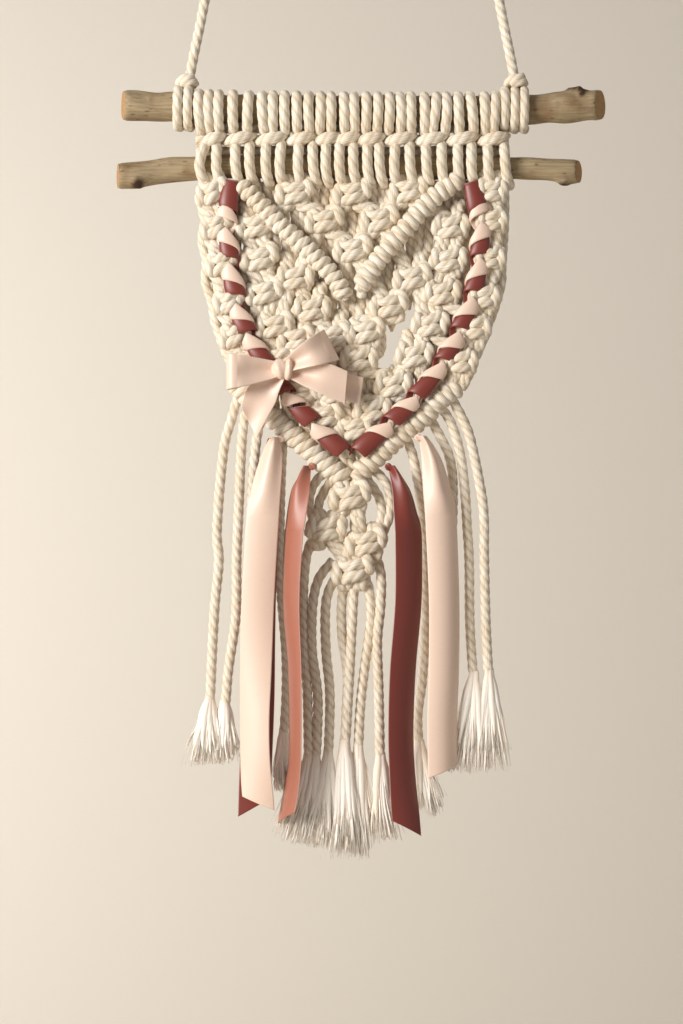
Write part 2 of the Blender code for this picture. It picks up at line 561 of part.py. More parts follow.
def hanger_loop(side, parts, helpers):
    """The knot and the open loop that end a leg. The loop is an upright ring, drawn out along the leg."""
    end = Vector(HANGER_LEGS[side][-1])
    rise = end - Vector(HANGER_LEGS[side][-2])
    tilt = Matrix.Rotation(math.atan2(rise.x, rise.z), 4, "Y")
    shape = bmesh.new()
    bmesh.ops.create_uvsphere(shape, u_segments=8, v_segments=6, radius=1.0)
    bmesh.ops.scale(shape, vec=(6.0, 5.2, LOOP_KNOT_HEIGHT / 2), verts=shape.verts)
    bmesh.ops.translate(shape, vec=(0, 0, LOOP_KNOT_HEIGHT / 2 + 2 * GAP), verts=shape.verts)
    knot = bpy.data.meshes.new("knot")
    shape.to_mesh(knot)
    shape.free()
    eye_low = LOOP_KNOT_HEIGHT - 2.0
    tall = (LOOP_HEIGHT - eye_low - CORD) / 2
    middle = eye_low + CORD / 2 + tall
    rings = []
    for i in range(13):
        angle = -math.pi / 2 + 2 * math.pi * i / 12
        centre = Vector((LOOP_REACH * math.cos(angle), 0, middle + tall * math.sin(angle)))
        outward = Vector((math.cos(angle), 0, math.sin(angle)))
        wayside = Vector((0, 1, 0))
        around = [2 * math.pi * k / 6 for k in range(6)]
        rings.append([centre + CORD / 2 * (outward * math.cos(a) + wayside * math.sin(a)) for a in around])
    eye = welded(loft_mesh(rings, closed_ends=False))
    for mesh, unit in ((knot, MM), (eye, 1.0)):
        mesh.transform(Matrix.Translation(end * MM) @ tilt @ Matrix.Scale(unit, 4))
    mesh = combined([knot, eye], "UNION", helpers)
    return place(f"hanger_loop_{side}", mesh, "cotton", parts)


def bar_row(parts):
    """The row between the branches: eleven slanted twisted bars that overlap like a rope."""
    around = [2 * math.pi * k / 8 for k in range(8)]
    rings = []
    for i in range(BARS * 2 + 1):
        share = i / (BARS * 2)
        lobe = 0.5 - 0.5 * math.cos(2 * math.pi * share * BARS)
        x = BARS_LEFT + (BARS_RIGHT - BARS_LEFT) * share
        z = BARS_HEIGHT + 0.3 * math.cos(math.pi * i)
        high, deep = 2.4 + 0.5 * lobe, 3.6 + 1.6 * lobe
        rings.append([(x, deep * math.cos(a), z + high * math.sin(a)) for a in around])
    return place("bar_row", loft_mesh(rings), "cotton", parts)


def distance_to(points, route):
    """From each x, z point to the nearest point of a route."""
    line = smooth_route(route, 1.5)[:, [0, 2]]
    return np.sqrt(((points[:, None, :] - line[None, :, :]) ** 2).sum(axis=2)).min(axis=1)


def panel_front(x, z, across):
    """How far the panel's face stands out: rows of knots, a ridge along each border and two inner ridges."""
    knots = np.cos(2 * math.pi * (x - KNOT_FIRST.x) / KNOT_PITCH_X)
    knots *= np.cos(2 * math.pi * (z - KNOT_FIRST.z) / KNOT_PITCH_Z)
    border = np.clip(1 - (1 - across) * PANEL_HALF / BORDER_WIDTH, 0, 1)
    points = np.column_stack([x, z])
    near = np.minimum(*(distance_to(points, ridge) for ridge in INNER_RIDGES))
    ridge = np.exp(-((near / RIDGE_HALF_WIDTH) ** 2))
    return PANEL_FRONT + KNOT_HEIGHT * np.maximum(knots, -0.3) + BORDER_HEIGHT * border + RIDGE_HEIGHT * ridge


def net_panel(parts, helpers):
    """The knotted panel: a flat grid bent to the shield outline, thickened, then raised into its knots."""
    shape = bmesh.new()
    bmesh.ops.create_grid(shape, x_segments=PANEL_COLUMNS, y_segments=PANEL_ROWS, size=1.0)
    heights = [side.z for side in PANEL_SIDES][::-1]
    widths = [side.half_width for side in PANEL_SIDES][::-1]
    for vert in shape.verts:
        u, v = vert.co.x, (1 - vert.co.y) / 2
        foot = PANEL_TIP + PANEL_SLOPE * PANEL_FOOT
        half = np.interp(PANEL_TOP + v * (foot - PANEL_TOP), heights, widths)
        x = u * half + PANEL_MIDDLE
        low = PANEL_TIP + PANEL_SLOPE * abs(x - V_MIDDLE)
        vert.co = Vector((x, 0.0, PANEL_TOP + v * (low - PANEL_TOP))) * MM
    flat = bpy.data.meshes.new("panel")
    shape.to_mesh(flat)
    shape.free()
    thing = bpy.data.objects.new("panel", flat)
    helpers.objects.link(thing)
    solid = thing.modifiers.new("thickness", "SOLIDIFY")
    solid.thickness = 2 * MM
    solid.offset = 0.0
    mesh = baked(thing)
    places = np.empty(len(mesh.vertices) * 3, np.float32)
    mesh.vertices.foreach_get("co", places)
    places = places.reshape(-1, 3) / MM
    x, z = places[:, 0], places[:, 2]
    across = np.clip(np.abs(x - PANEL_MIDDLE) / np.interp(z, heights, widths), 0, 1)
    front = panel_front(x, z, across)
    back = PANEL_BACK + 0.35 * (front - PANEL_FRONT)
    places[:, 1] = np.where(places[:, 1] < 0, -front, back)
    mesh.vertices.foreach_set("co", (places * MM).astype(np.float32).ravel())
    mesh.update()
    slit = loft_mesh([[(p.x, depth, p.z) for p in SLIT] for depth in (-14.0, 14.0)])
    groove = tube_mesh([Section(x, LACING_DEPTH, z, LACING_GROOVE) for x, _, z in groove_route()], helpers)
    mesh = combined([mesh, slit, groove], "DIFFERENCE", helpers)
    return place("net_panel", mesh, "cotton", parts)


def groove_route():
    """Down the left lacing, round the tip of the V and up the right one, run on a little past both ends."""
    tip = Point(V_MIDDLE, 0.0, -258.6)
    line = smooth_route([*LACINGS["left"], tip, *LACINGS["right"][::-1]], 7.0)
    start = line[0] + (line[0] - line[1]) * 0.9
    end = line[-1] + (line[-1] - line[-2]) * 0.9
    return np.vstack([start, line, end])


def lacing(side, colour, phase, parts, helpers):
    """One of the two ribbons that twist round each other: a band that orbits the lacing's line."""
    route = smooth_route(LACINGS[side], LACING_PITCH * LACING_STEP / 360)
    away = np.gradient(route, axis=0)
    rows = []
    for index, (centre, run) in enumerate(zip(route, away, strict=True)):
        angle = math.radians(phase + LACING_STEP * index)
        along = Vector(run).normalized()
        front = Vector((0, -1, 0))
        across = along.cross(front)
        out = across * math.cos(angle) + front * math.sin(angle)
        flat = front * math.cos(angle) - across * math.sin(angle)
        middle = Vector((centre[0], LACING_DEPTH, centre[2])) + out * LACING_ORBIT
        rows.append([middle - flat * LACING_HALF_WIDTH, middle + flat * LACING_HALF_WIDTH])
    mesh = sheet_mesh(rows, SHEET, helpers)
    return place(f"lacing_{colour}_{side}", mesh, f"{colour}_satin", parts)


def edge_fringe(side, rim, cords, brushes, parts, helpers):
    """One leg of the V edge and the cords that hang from it, with their combed-out ends."""
    route = smooth_route(rim, 9.0)
    ridge = tube_mesh([Section(*row) for row in route], helpers)
    away = 1.0 if side == "left" else -1.0
    ridge = trimmed(ridge, (V_MIDDLE - away * GAP / 2, 0, 0), (away, 0, 0))
    pieces = [ridge, *(cord_mesh(points, helpers) for points in cords)]
    pieces += [brush_mesh(levels) for levels in brushes]
    return place(f"edge_fringe_{side}", combined(pieces, "UNION", helpers), "cotton", parts)


def brush_mesh(levels, sides=10):
    """A flattened, flaring bundle of combed-out cord ends."""
    angles = [2 * math.pi * (k + 0.5) / sides for k in range(sides)]
    rings = []
    for z, x, wide, deep in levels:
        rings.append([(x + wide * math.cos(a), BRUSH_DEPTH + deep * math.sin(a), z) for a in angles])
    return loft_mesh(rings)


def point_fringe(parts, helpers):
    """The knotted point under the V, its side cords and the cords that hang from it."""
    pieces = [ball_mesh(knot) for knot in POINT_KNOTS]
    pieces += [cord_mesh(points, helpers, step=6.0) for points in POINT_SIDES]
    pieces += [cord_mesh(points, helpers) for points in POINT_CORDS]
    pieces.append(brush_mesh(POINT_BRUSH))
    return place("point_fringe", combined(pieces, "UNION", helpers), "cotton", parts)


def hanging_ribbon(name, ribbon, parts, helpers):
    """A flat ribbon that hangs from its pinched top, turned a little and cut on the slant."""
    table = np.array([tuple(fold) for fold in ribbon.folds], float)
    drops = np.concatenate([[0, 5], np.arange(12.0, table[-1, 0] - 6, 14.0), table[-1:, 0]])
    rows = []
    for drop in drops:
        shift, depth, width, turn = (np.interp(drop, table[:, 0], table[:, k]) for k in range(1, 5))
        turn = math.radians(turn)
        row = []
        for side in (-1.0, 0.0, 1.0):
            reach = side * width / 2
            crown = -0.5 * (1 - side * side)
            cut = ribbon.right_corner * side / 2 if drop == drops[-1] else 0.0
            row.append((shift + reach * math.cos(turn), depth - reach * math.sin(turn) + crown, -drop + cut))
        rows.append(row)
    top = (ribbon.x, ribbon.depth, ribbon.z)
    return place(name, sheet_mesh(rows, SHEET, helpers), ribbon.finish, parts, top)


def bow_end_mesh(key, helpers):
    """One loop or end of the bow: a run of sections turned in the upright plane to its angle."""
    angle, turns = BOW_ENDS[key]
    cut = BOW_CUTS.get(key, 0.0)
    rotation = Euler((0, -math.radians(angle), 0)).to_matrix()
    rows = []
    for turn in turns:
        row = []
        for side in (-0.5, 0.5):
            reach = cut * side if turn is turns[-1] else 0.0
            row.append(rotation @ Vector((turn.out + reach, turn.depth, turn.side + turn.width * side)))
        rows.append(row)
    return sheet_mesh(rows, SHEET, helpers)


def bow(parts, helpers):
    """The tied bow: two open loops, a knot and three free ends, as one piece of ribbon."""
    knot = ball_mesh(Bump(0, 0, 0, *BOW_KNOT))
    pieces = [knot, *(bow_end_mesh(key, helpers) for key in BOW_ENDS)]
    return place("bow", combined(pieces, "UNION", helpers), "peach_satin", parts, BOW_AT)


def build():
    clear_scene()
    parts = new_collection("macrame wall hanging")
    helpers = new_collection("helpers")
    branch("branch_top", TOP_BRANCH, TOP_BRANCH_BUMPS, parts, helpers)
    branch("branch_low", LOW_BRANCH, LOW_BRANCH_BUMPS, parts, helpers)
    for side in ("left", "right"):
        hitch(side, parts, helpers)
        hanger_leg(side, parts)
        hanger_loop(side, parts, helpers)
    place("head_wraps", sleeve_mesh(TOP_BRANCH, HEAD_WRAPS), "cotton", parts)
    bar_row(parts)
    place("lower_wraps", sleeve_mesh(LOW_BRANCH, LOWER_WRAPS), "cotton", parts)
    net_panel(parts, helpers)
    edge_fringe("left", LEFT_RIM, LEFT_CORDS, LEFT_BRUSHES, parts, helpers)
    edge_fringe("right", RIGHT_RIM, RIGHT_CORDS, RIGHT_BRUSHES, parts, helpers)
    point_fringe(parts, helpers)
    for side in LACINGS:
        lacing(side, "rose", 0.0, parts, helpers)
        lacing(side, "peach", 180.0, parts, helpers)
    for name, ribbon in RIBBONS.items():
        hanging_ribbon(name, ribbon, parts, helpers)
    bow(parts, helpers)


build()
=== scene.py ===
"""A macrame wall hanging on two bare branches: cotton cord, satin ribbon and a combed-out fringe.

Frame: X runs to the right along the branches, Y into the wall (the front faces -Y) and Z up.
"""

import math
from collections import namedtuple

import bpy
import numpy as np
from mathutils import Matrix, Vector


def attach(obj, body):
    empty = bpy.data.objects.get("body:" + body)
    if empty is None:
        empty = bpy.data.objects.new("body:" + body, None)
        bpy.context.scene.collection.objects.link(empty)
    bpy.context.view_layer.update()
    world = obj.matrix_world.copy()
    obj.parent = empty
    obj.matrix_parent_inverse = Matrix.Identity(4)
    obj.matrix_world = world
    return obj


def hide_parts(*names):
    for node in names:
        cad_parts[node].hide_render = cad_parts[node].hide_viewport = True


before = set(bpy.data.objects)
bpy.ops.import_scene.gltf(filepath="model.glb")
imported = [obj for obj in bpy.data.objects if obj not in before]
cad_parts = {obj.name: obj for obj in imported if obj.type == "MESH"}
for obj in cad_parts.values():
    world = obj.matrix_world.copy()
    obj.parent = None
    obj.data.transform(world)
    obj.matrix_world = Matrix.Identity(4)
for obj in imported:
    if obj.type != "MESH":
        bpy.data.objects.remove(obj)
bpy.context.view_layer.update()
MM = 0.001

# ---------------------------------------------------------------- Camera
# The hanging is seen straight on from 1.16 m in front of it, with its middle near the picture's middle.
# At the branches the picture is 328 mm wide and 492 mm high.

lens = bpy.data.cameras.new("camera")
lens.lens = 85.0
lens.sensor_width = 36.0
camera = bpy.data.objects.new("camera", lens)
camera.location = (-5.04 * MM, -1160.5 * MM, -285.8 * MM)
camera.rotation_euler = (math.radians(90), 0, 0)
bpy.context.scene.collection.objects.link(camera)
bpy.context.scene.camera = camera

# ---------------------------------------------------------------- Hanging cord
# Two legs of 5 mm cotton cord rise from the ends of the top branch. Each is held taut from above, so it ends
# in a tied loop just over the picture. The cord is three plies laid up with a left-handed twist.

CORD = 5.0
LAY = 14.5  # one turn of the plies
# A ring's reach over the backs and creases of the three plies, hanging free and pulled tight.
FREE_PLIES = np.tile([1.0, 0.95, 0.80, 0.95], 3)
TIGHT_PLIES = np.tile([1.0, 0.97, 0.89, 0.97], 3)

# A skin to be joined into a piece: its points, its faces as arrays of corners, each corner's UV, and each
# point's crown, which the material reads as a ply's back (its creases painted in shade), a dark knot, a
# strand's painted shade and random tone, or a selvedge.
Skin = namedtuple("Skin", "points faces uv crown")
# A node is read by its first output, apart from these. A Mix node's third output is its colour.
READ_BY = {"Attribute": "Fac", "TexCoord": "Object", "Mix": 2}


def linear(colour):
    """An sRGB hex colour as linear light: the sRGB curve undone channel by channel, with full alpha."""
    parts = [int(colour[i : i + 2], 16) / 255 for i in (0, 2, 4)]
    return (*(c / 12.92 if c <= 0.04045 else ((c + 0.055) / 1.055) ** 2.4 for c in parts), 1.0)


def add(material, kind, inputs=None, **settings):
    """Adds one node and returns its output. Settings are its own properties, and inputs gives a socket a value
    or another node's output."""
    node = material.node_tree.nodes.new("ShaderNode" + kind)
    for name, value in settings.items():
        setattr(node, name, value)
    for socket, value in (inputs or {}).items():
        if isinstance(value, bpy.types.NodeSocket):
            material.node_tree.links.new(value, node.inputs[socket])
        else:
            node.inputs[socket].default_value = value
    return node.outputs[READ_BY.get(kind, 0)] if len(node.outputs) else None


def bare_material(name):
    """A new material without any nodes."""
    material = bpy.data.materials.new(name)
    material.use_nodes = True
    material.node_tree.nodes.clear()
    return material


# Undyed cotton, carded, spun and laid up in three plies: matt, with fine fibres that run nearly along the
# cord. The creases between the plies see little light, and they are painted a touch darker and warmer:
# painted shade.
cotton = bare_material("undyed three-ply cotton cord")
lay_uv = add(cotton, "UVMap", uv_map="lay")
crown = add(cotton, "Attribute", attribute_name="crown")
spot = add(cotton, "TexCoord")
# Fibre bundles 0.4 mm wide and 7 mm long; single fibres would be too fine to show.
bundles = add(
    cotton, "Mapping", {"Vector": lay_uv, "Scale": (1 / 0.4, 1 / 7.0, 1.0)}
)
streaks = add(
    cotton,
    "TexNoise",
    {"Vector": bundles, "Scale": 1.0, "Detail": 2.0, "Roughness": 0.6},
    noise_dimensions="2D",
)
patches = add(
    cotton, "TexNoise", {"Vector": spot, "Scale": 60.0, "Detail": 2.0}
)
# Painted shade: the crown runs from a ply's crease (0) to its back (1); the creases get the darker colour.
depth = add(
    cotton,
    "MapRange",
    {"Value": crown, "From Min": 0.0, "From Max": 0.85},
    interpolation_type="SMOOTHSTEP",
)
base = add(
    cotton,
    "Mix",
    {0: depth, 6: linear("E6D9C4"), 7: linear("FBF6ED")},
    data_type="RGBA",
)
streak_range = add(
    cotton,
    "MapRange",
    {"Value": streaks, "From Min": 0.3, "From Max": 0.7, "To Min": 0.0, "To Max": 1.0},
)
streaked = add(
    cotton,
    "Mix",
    {0: streak_range, 6: linear("E0D4C0"), 7: linear("FFFFFF")},
    data_type="RGBA",
)
toned = add(
    cotton,
    "Mix",
    {0: 1.0, 6: base, 7: streaked},
    data_type="RGBA",
    blend_type="MULTIPLY",
)
patch_range = add(
    cotton,
    "MapRange",
    {"Value": patches, "From Min": 0.35, "From Max": 0.65, "To Min": 0.0, "To Max": 0.5},
)
cotton_colour = add(
    cotton,
    "Mix",
    {0: patch_range, 6: toned, 7: linear("F2E8D8")},
    data_type="RGBA",
    blend_type="MULTIPLY",
)
fibre_bump = add(
    cotton,
    "Bump",
    {"Height": streaks, "Strength": 0.7, "Distance": 0.35 * MM},
)
cotton_shader = add(
    cotton,
    "BsdfPrincipled",
    {
        "Base Color": cotton_colour,
        "Roughness": 0.92,
        "IOR": 1.45,
        "Specular IOR Level": 0.2,
        "Sheen Weight": 0.25,
        "Sheen Roughness": 0.6,
        "Sheen Tint": linear("FFF9F0"),
        "Normal": fibre_bump,
    },
)
add(cotton, "OutputMaterial", {"Surface": cotton_shader})


def lengths(line):
    """How far along a line each of its points is."""
    return np.concatenate([[0], np.cumsum(np.linalg.norm(np.diff(line[:, :3], axis=0), axis=1))])


def read_at(places, along, table):
    """A table's columns, read off at other places along it."""
    return np.column_stack([np.interp(places, along, column) for column in table.T])


def smooth_line(points, step=1.0):
    """A Catmull-Rom curve through the points, read off at even steps along its length."""
    fixed = np.asarray(points, float)
    ends = np.vstack([2 * fixed[0] - fixed[1], fixed, 2 * fixed[-1] - fixed[-2]])
    t = np.linspace(0, 1, 12, endpoint=False)[None, :, None]
    a, b, c, d = (ends[k : len(ends) - 3 + k, None, :] for k in range(4))
    runs = 0.5 * (2 * b + (c - a) * t + (2 * a - 5 * b + 4 * c - d) * t**2 + (3 * b - a - 3 * c + d) * t**3)
    dense = np.vstack([runs.reshape(-1, fixed.shape[1]), fixed[-1:]])
    along = lengths(dense)
    return read_at(np.linspace(0, along[-1], max(3, round(along[-1] / step) + 1)), along, dense)


def unit(vectors):
    """Each vector at a length of one."""
    return vectors / np.maximum(np.linalg.norm(vectors, axis=-1, keepdims=True), 1e-9)


def axes_along(line):
    """Two axes square to a line at each of its points. They start from a fixed direction, and the spin that
    this gives them from point to point is added up and taken off, so they don't turn about the line."""
    run = unit(np.gradient(line, axis=0))
    fixed = np.array([0.313, 0.187, 0.931])
    side = unit(fixed - run * (run @ fixed)[:, None])
    up = np.cross(run, side)
    spin = np.arctan2((side[:-1] * up[1:]).sum(axis=1), (side[:-1] * side[1:]).sum(axis=1))
    turn = np.concatenate([[0], np.cumsum(spin)])[:, None]
    return side * np.cos(turn) + up * np.sin(turn), up * np.cos(turn) - side * np.sin(turn)


def tube_faces(rings, sides):
    """The faces between a tube's rings: from a corner on to the next ring, round it by one, and back."""
    ring, corner = np.meshgrid(np.arange(rings - 1) * sides, np.arange(sides), indexing="ij")
    after = (corner + 1) % sides
    faces = [ring + corner, ring + sides + corner, ring + sides + after, ring + after]
    return np.stack(faces, axis=-1).reshape(-1, 4)


def cord_skin(points, radius=CORD / 2, step=1.0, lay=LAY, phase=0.0, plies=FREE_PLIES):
    """A three-ply cord along a route. Each ring reaches to the radius on a ply's back and less far in a
    crease, and turns left-handed once for every lay. A fourth column of the points scales the radius."""
    line = smooth_line(points, step)
    scale = line[:, 3] if line.shape[1] > 3 else np.ones(len(line))
    line = line[:, :3]
    side, up = axes_along(line)
    along = lengths(line)
    sides = len(plies)
    share = np.arange(sides + 1)[None, :] / sides - along[:, None] / lay + phase
    angle = 2 * math.pi * share[:, :sides, None]
    reach = radius * scale[:, None, None] * plies[None, :, None]
    rings = line[:, None, :] + reach * (np.cos(angle) * side[:, None, :] + np.sin(angle) * up[:, None, :])
    quads = tube_faces(len(line), sides)[:, [0, 3, 2, 1]]
    caps = np.stack([np.arange(sides)[::-1], np.arange(sides) + (len(line) - 1) * sides])
    around = 2 * math.pi * radius * share
    grid = np.stack([around, np.repeat(along[:, None], sides + 1, axis=1)], axis=-1)
    corners = np.stack([grid[:-1, :-1], grid[:-1, 1:], grid[1:, 1:], grid[1:, :-1]], axis=2)
    uv = np.vstack([corners.reshape(-1, 2), grid[0, :sides][::-1], grid[-1, :sides]])
    backs = (plies - plies.min()) / (1 - plies.min())
    return Skin(rings.reshape(-1, 3), [quads, caps], uv, np.tile(backs, len(line)))


def piece(name, skins, material, node):
    """One object from skins, with a UV for each corner and the crown of each point. It rides on the hanging
    and stands for one of its nodes."""
    starts = np.cumsum([0, *(len(skin.points) for skin in skins[:-1])])
    faces = [part + start for skin, start in zip(skins, starts, strict=True) for part in skin.faces]
    sizes = np.concatenate([np.full(len(part), part.shape[1]) for part in faces])
    mesh = bpy.data.meshes.new(name)
    points = np.vstack([skin.points for skin in skins]) * MM
    mesh.vertices.add(len(points))
    mesh.vertices.foreach_set("co", points.astype(np.float32).ravel())
    corners = np.concatenate([part.ravel() for part in faces]).astype(np.int32)
    mesh.loops.add(len(corners))
    mesh.loops.foreach_set("vertex_index", corners)
    mesh.polygons.add(len(sizes))
    mesh.polygons.foreach_set("loop_start", np.concatenate([[0], np.cumsum(sizes)[:-1]]).astype(np.int32))
    mesh.update(calc_edges=True)
    mesh.polygons.foreach_set("use_smooth", np.ones(len(sizes), bool))
    uv = mesh.uv_layers.new(name="lay")
    uv.data.foreach_set("uv", np.vstack([skin.uv for skin in skins]).astype(np.float32).ravel())
    backs = mesh.attributes.new("crown", "FLOAT", "POINT")
    backs.data.foreach_set("value", np.concatenate([skin.crown for skin in skins]).astype(np.float32))
    mesh.materials.append(material)
    thing = bpy.data.objects.new(name, mesh)
    bpy.context.scene.collection.objects.link(thing)
    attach(thing, "root")
    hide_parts(node)
    return thing


def free_cord(name, points, far_end, node):
    """A cord that hangs free, as a tube. Where its far end is bare, the tube thins away towards it."""
    line = smooth_line(points, 0.8)
    if far_end == "bare":  # its plies have been combed out, so the cord thins away inside its brush
        left = 0.8 * np.arange(len(line))[::-1]
        line = np.column_stack([line, np.clip(0.3 + left / 10, 0, 1)])
    tube = piece(name, [cord_skin(line, step=0.8)], cotton, node)


LEGS = {
    "left": [(-78.4, 0.6, -80.2), (-76.6, 0.2, -70.0), (-73.3, 0.0, -54.0), (-69.7, 0.0, -35.6)],
    "right": [(78.4, 0.6, -80.2), (76.6, 0.2, -70.0), (73.3, 0.0, -54.0), (69.7, 0.0, -35.6)],
}
# Measured from the leg's end: across it, and on along it.
LOOP = [
    (0.0, 7.0), (-3.6, 13.2), (-5.7, 20.0), (-4.9, 28.0), (0.0, 33.6), (4.9, 28.0), (5.7, 20.0), (3.6, 13.2),
    (0.0, 7.0),
]  # fmt: skip
LOOP_TURNS = 2.6  # of cord round the neck of the loop

for side, leg in LEGS.items():
    end = np.array(leg[-1])
    rise = unit(end - np.array(leg[-2]))
    across = np.array([rise[2], 0.0, -rise[0]])
    eye = [end + across * a + rise * w for a, w in LOOP]
    angle = np.linspace(0, 2 * math.pi * LOOP_TURNS, 26)
    neck = [
        end + across * 3.0 * math.cos(a) + np.array([0, -2.9 * math.sin(a), 0]) + rise * (2.6 + 7.8 * i / 25)
        for i, a in enumerate(angle)
    ]
    tied = piece(
        f"hanging_loop_{side}",
        [cord_skin(eye, 2.3), cord_skin(neck, 2.1, step=0.8)],
        cotton,
        f"hanger_loop_{side}",
    )
    free_cord(f"hanging_leg_{side}", leg, "knot", f"hanger_cord_{side}")

# ---------------------------------------------------------------- Branches
# Two bare branches, peeled and dried, with a few dark knots left. Both ends are sawn a little askew and show
# the paler wood.

Bump = namedtuple("Bump", "x angle wide high dark")  # angle round the branch, 0 in front and 90 on top
TOP_BRANCH = [
    (-111.5, 0.0, -90.4, 7.1),
    (-86.0, 0.3, -91.6, 7.0),
    (-45.0, 0.2, -92.5, 6.9),
    (0.0, -0.2, -93.0, 6.8),
    (45.0, 0.0, -93.1, 6.8),
    (84.0, 0.2, -92.6, 6.9),
    (108.0, 0.0, -91.2, 7.3),
    (121.0, -0.2, -90.3, 7.4),
]
TOP_BUMPS = [
    Bump(106.8, 90.0, 5.4, 3.2, 1.0), Bump(111.0, 66.0, 4.2, 1.4, 1.0), Bump(111.4, 44.0, 3.0, 0.6, 0.9),
    Bump(-97.0, 20.0, 1.6, 0.4, 0.5), Bump(-104.0, 55.0, 1.4, 0.3, 0.5), Bump(-20.0, 200.0, 3.0, 1.0, 0.8),
]  # fmt: skip
LOW_BRANCH = [
    (-114.0, -0.5, -124.6, 6.3),
    (-100.0, 0.0, -123.4, 6.0),
    (-76.0, 0.3, -120.6, 5.8),
    (-35.0, 0.2, -119.9, 5.6),
    (5.0, -0.2, -120.2, 5.6),
    (45.0, 0.0, -120.4, 5.5),
    (78.0, 0.2, -120.6, 5.4),
    (96.0, 0.0, -121.6, 5.5),
    (110.5, -0.2, -122.4, 5.6),
]
LOW_BUMPS = [
    Bump(-102.6, -48.0, 5.0, 2.4, 1.0), Bump(102.0, -78.0, 4.0, 2.2, 0.8), Bump(61.0, 62.0, 2.4, 0.9, 0.7),
    Bump(-88.0, 30.0, 1.8, 0.5, 0.5), Bump(88.0, 15.0, 1.6, 0.4, 0.6), Bump(10.0, 190.0, 2.6, 0.8, 0.7),
]  # fmt: skip

# Peeled and weathered wood: pale inner bark with long grain, small dark specks and dark rough knots.
bark = bare_material("peeled dry branch wood")
bark_spot = add(bark, "TexCoord")
knots = add(bark, "Attribute", attribute_name="crown")
# Grain lines 0.9 mm apart, drawn out 20 times along the branch.
grain_place = add(
    bark, "Mapping", {"Vector": bark_spot, "Scale": (55.0, 1100.0, 1100.0)}
)
grain = add(
    bark,
    "TexNoise",
    {"Vector": grain_place, "Scale": 1.0, "Detail": 4.0, "Roughness": 0.6},
)
blotch = add(
    bark, "TexNoise", {"Vector": bark_spot, "Scale": 90.0, "Detail": 4.0}
)
# Specks and short dashes up to 2.5 mm long and 1 mm wide, in cells 8 mm long and 3 mm wide.
speck_place = add(
    bark, "Mapping", {"Vector": bark_spot, "Scale": (130.0, 330.0, 330.0)}
)
specks = add(
    bark,
    "TexVoronoi",
    {"Vector": speck_place, "Scale": 1.0, "Randomness": 1.0},
)
speck_mask = add(
    bark,
    "MapRange",
    {"Value": specks, "From Min": 0.1, "From Max": 0.2, "To Min": 0.6, "To Max": 0.0},
)
grain_mask = add(
    bark, "MapRange", {"Value": grain, "From Min": 0.36, "From Max": 0.66}
)
pale = add(
    bark,
    "Mix",
    {0: grain_mask, 6: linear("8E7A5F"), 7: linear("AC9977")},
    data_type="RGBA",
)
blotch_mask = add(
    bark,
    "MapRange",
    {"Value": blotch, "From Min": 0.5, "From Max": 0.72, "To Min": 0.0, "To Max": 0.7},
)
toasted = add(
    bark,
    "Mix",
    {0: blotch_mask, 6: pale, 7: linear("7F6040")},
    data_type="RGBA",
)
speckled = add(
    bark,
    "Mix",
    {0: speck_mask, 6: toasted, 7: linear("5E4630")},
    data_type="RGBA",
)
knot_edge = add(
    bark,
    "Math",
    {0: knots, 1: blotch},
    operation="ADD",
)
knot_mask = add(
    bark, "MapRange", {"Value": knot_edge, "From Min": 0.8, "From Max": 1.3}
)
bark_colour = add(
    bark,
    "Mix",
    {0: knot_mask, 6: speckled, 7: linear("3F2A1A")},
    data_type="RGBA",
)
bark_bump = add(
    bark, "Bump", {"Height": grain, "Strength": 0.6, "Distance": 0.3 * MM}
)
bark_shader = add(
    bark,
    "BsdfPrincipled",
    {
        "Base Color": bark_colour,
        "Roughness": 0.72,
        "IOR": 1.5,
        "Specular IOR Level": 0.35,
        "Normal": bark_bump,
    },
)
add(bark, "OutputMaterial", {"Surface": bark_shader})

# Sawn end grain: tan, with the saw's fine scratches.
sawn = bare_material("sawn end of a dry branch")
sawn_spot = add(sawn, "TexCoord")
scratches = add(
    sawn, "Mapping", {"Vector": sawn_spot, "Scale": (300.0, 150.0, 1600.0)}
)
saw_marks = add(
    sawn, "TexNoise", {"Vector": scratches, "Scale": 1.0, "Detail": 3.0}
)
sawn_colour = add(
    sawn,
    "Mix",
    {0: saw_marks, 6: linear("91693F"), 7: linear("C39C6B")},
    data_type="RGBA",
)
sawn_shader = add(
    sawn, "BsdfPrincipled", {"Base Color": sawn_colour, "Roughness": 0.85}
)
add(sawn, "OutputMaterial", {"Surface": sawn_shader})


BRANCH_SIDES = 52
DRAWN_IN = 0.985  # of the length, which leaves room for the leaning saw cuts
SAW_CUT = np.array([0.82, 0.6, 0.35, 0.12, 0.004])[:, None, None]  # the rings on a sawn end, from its edge in


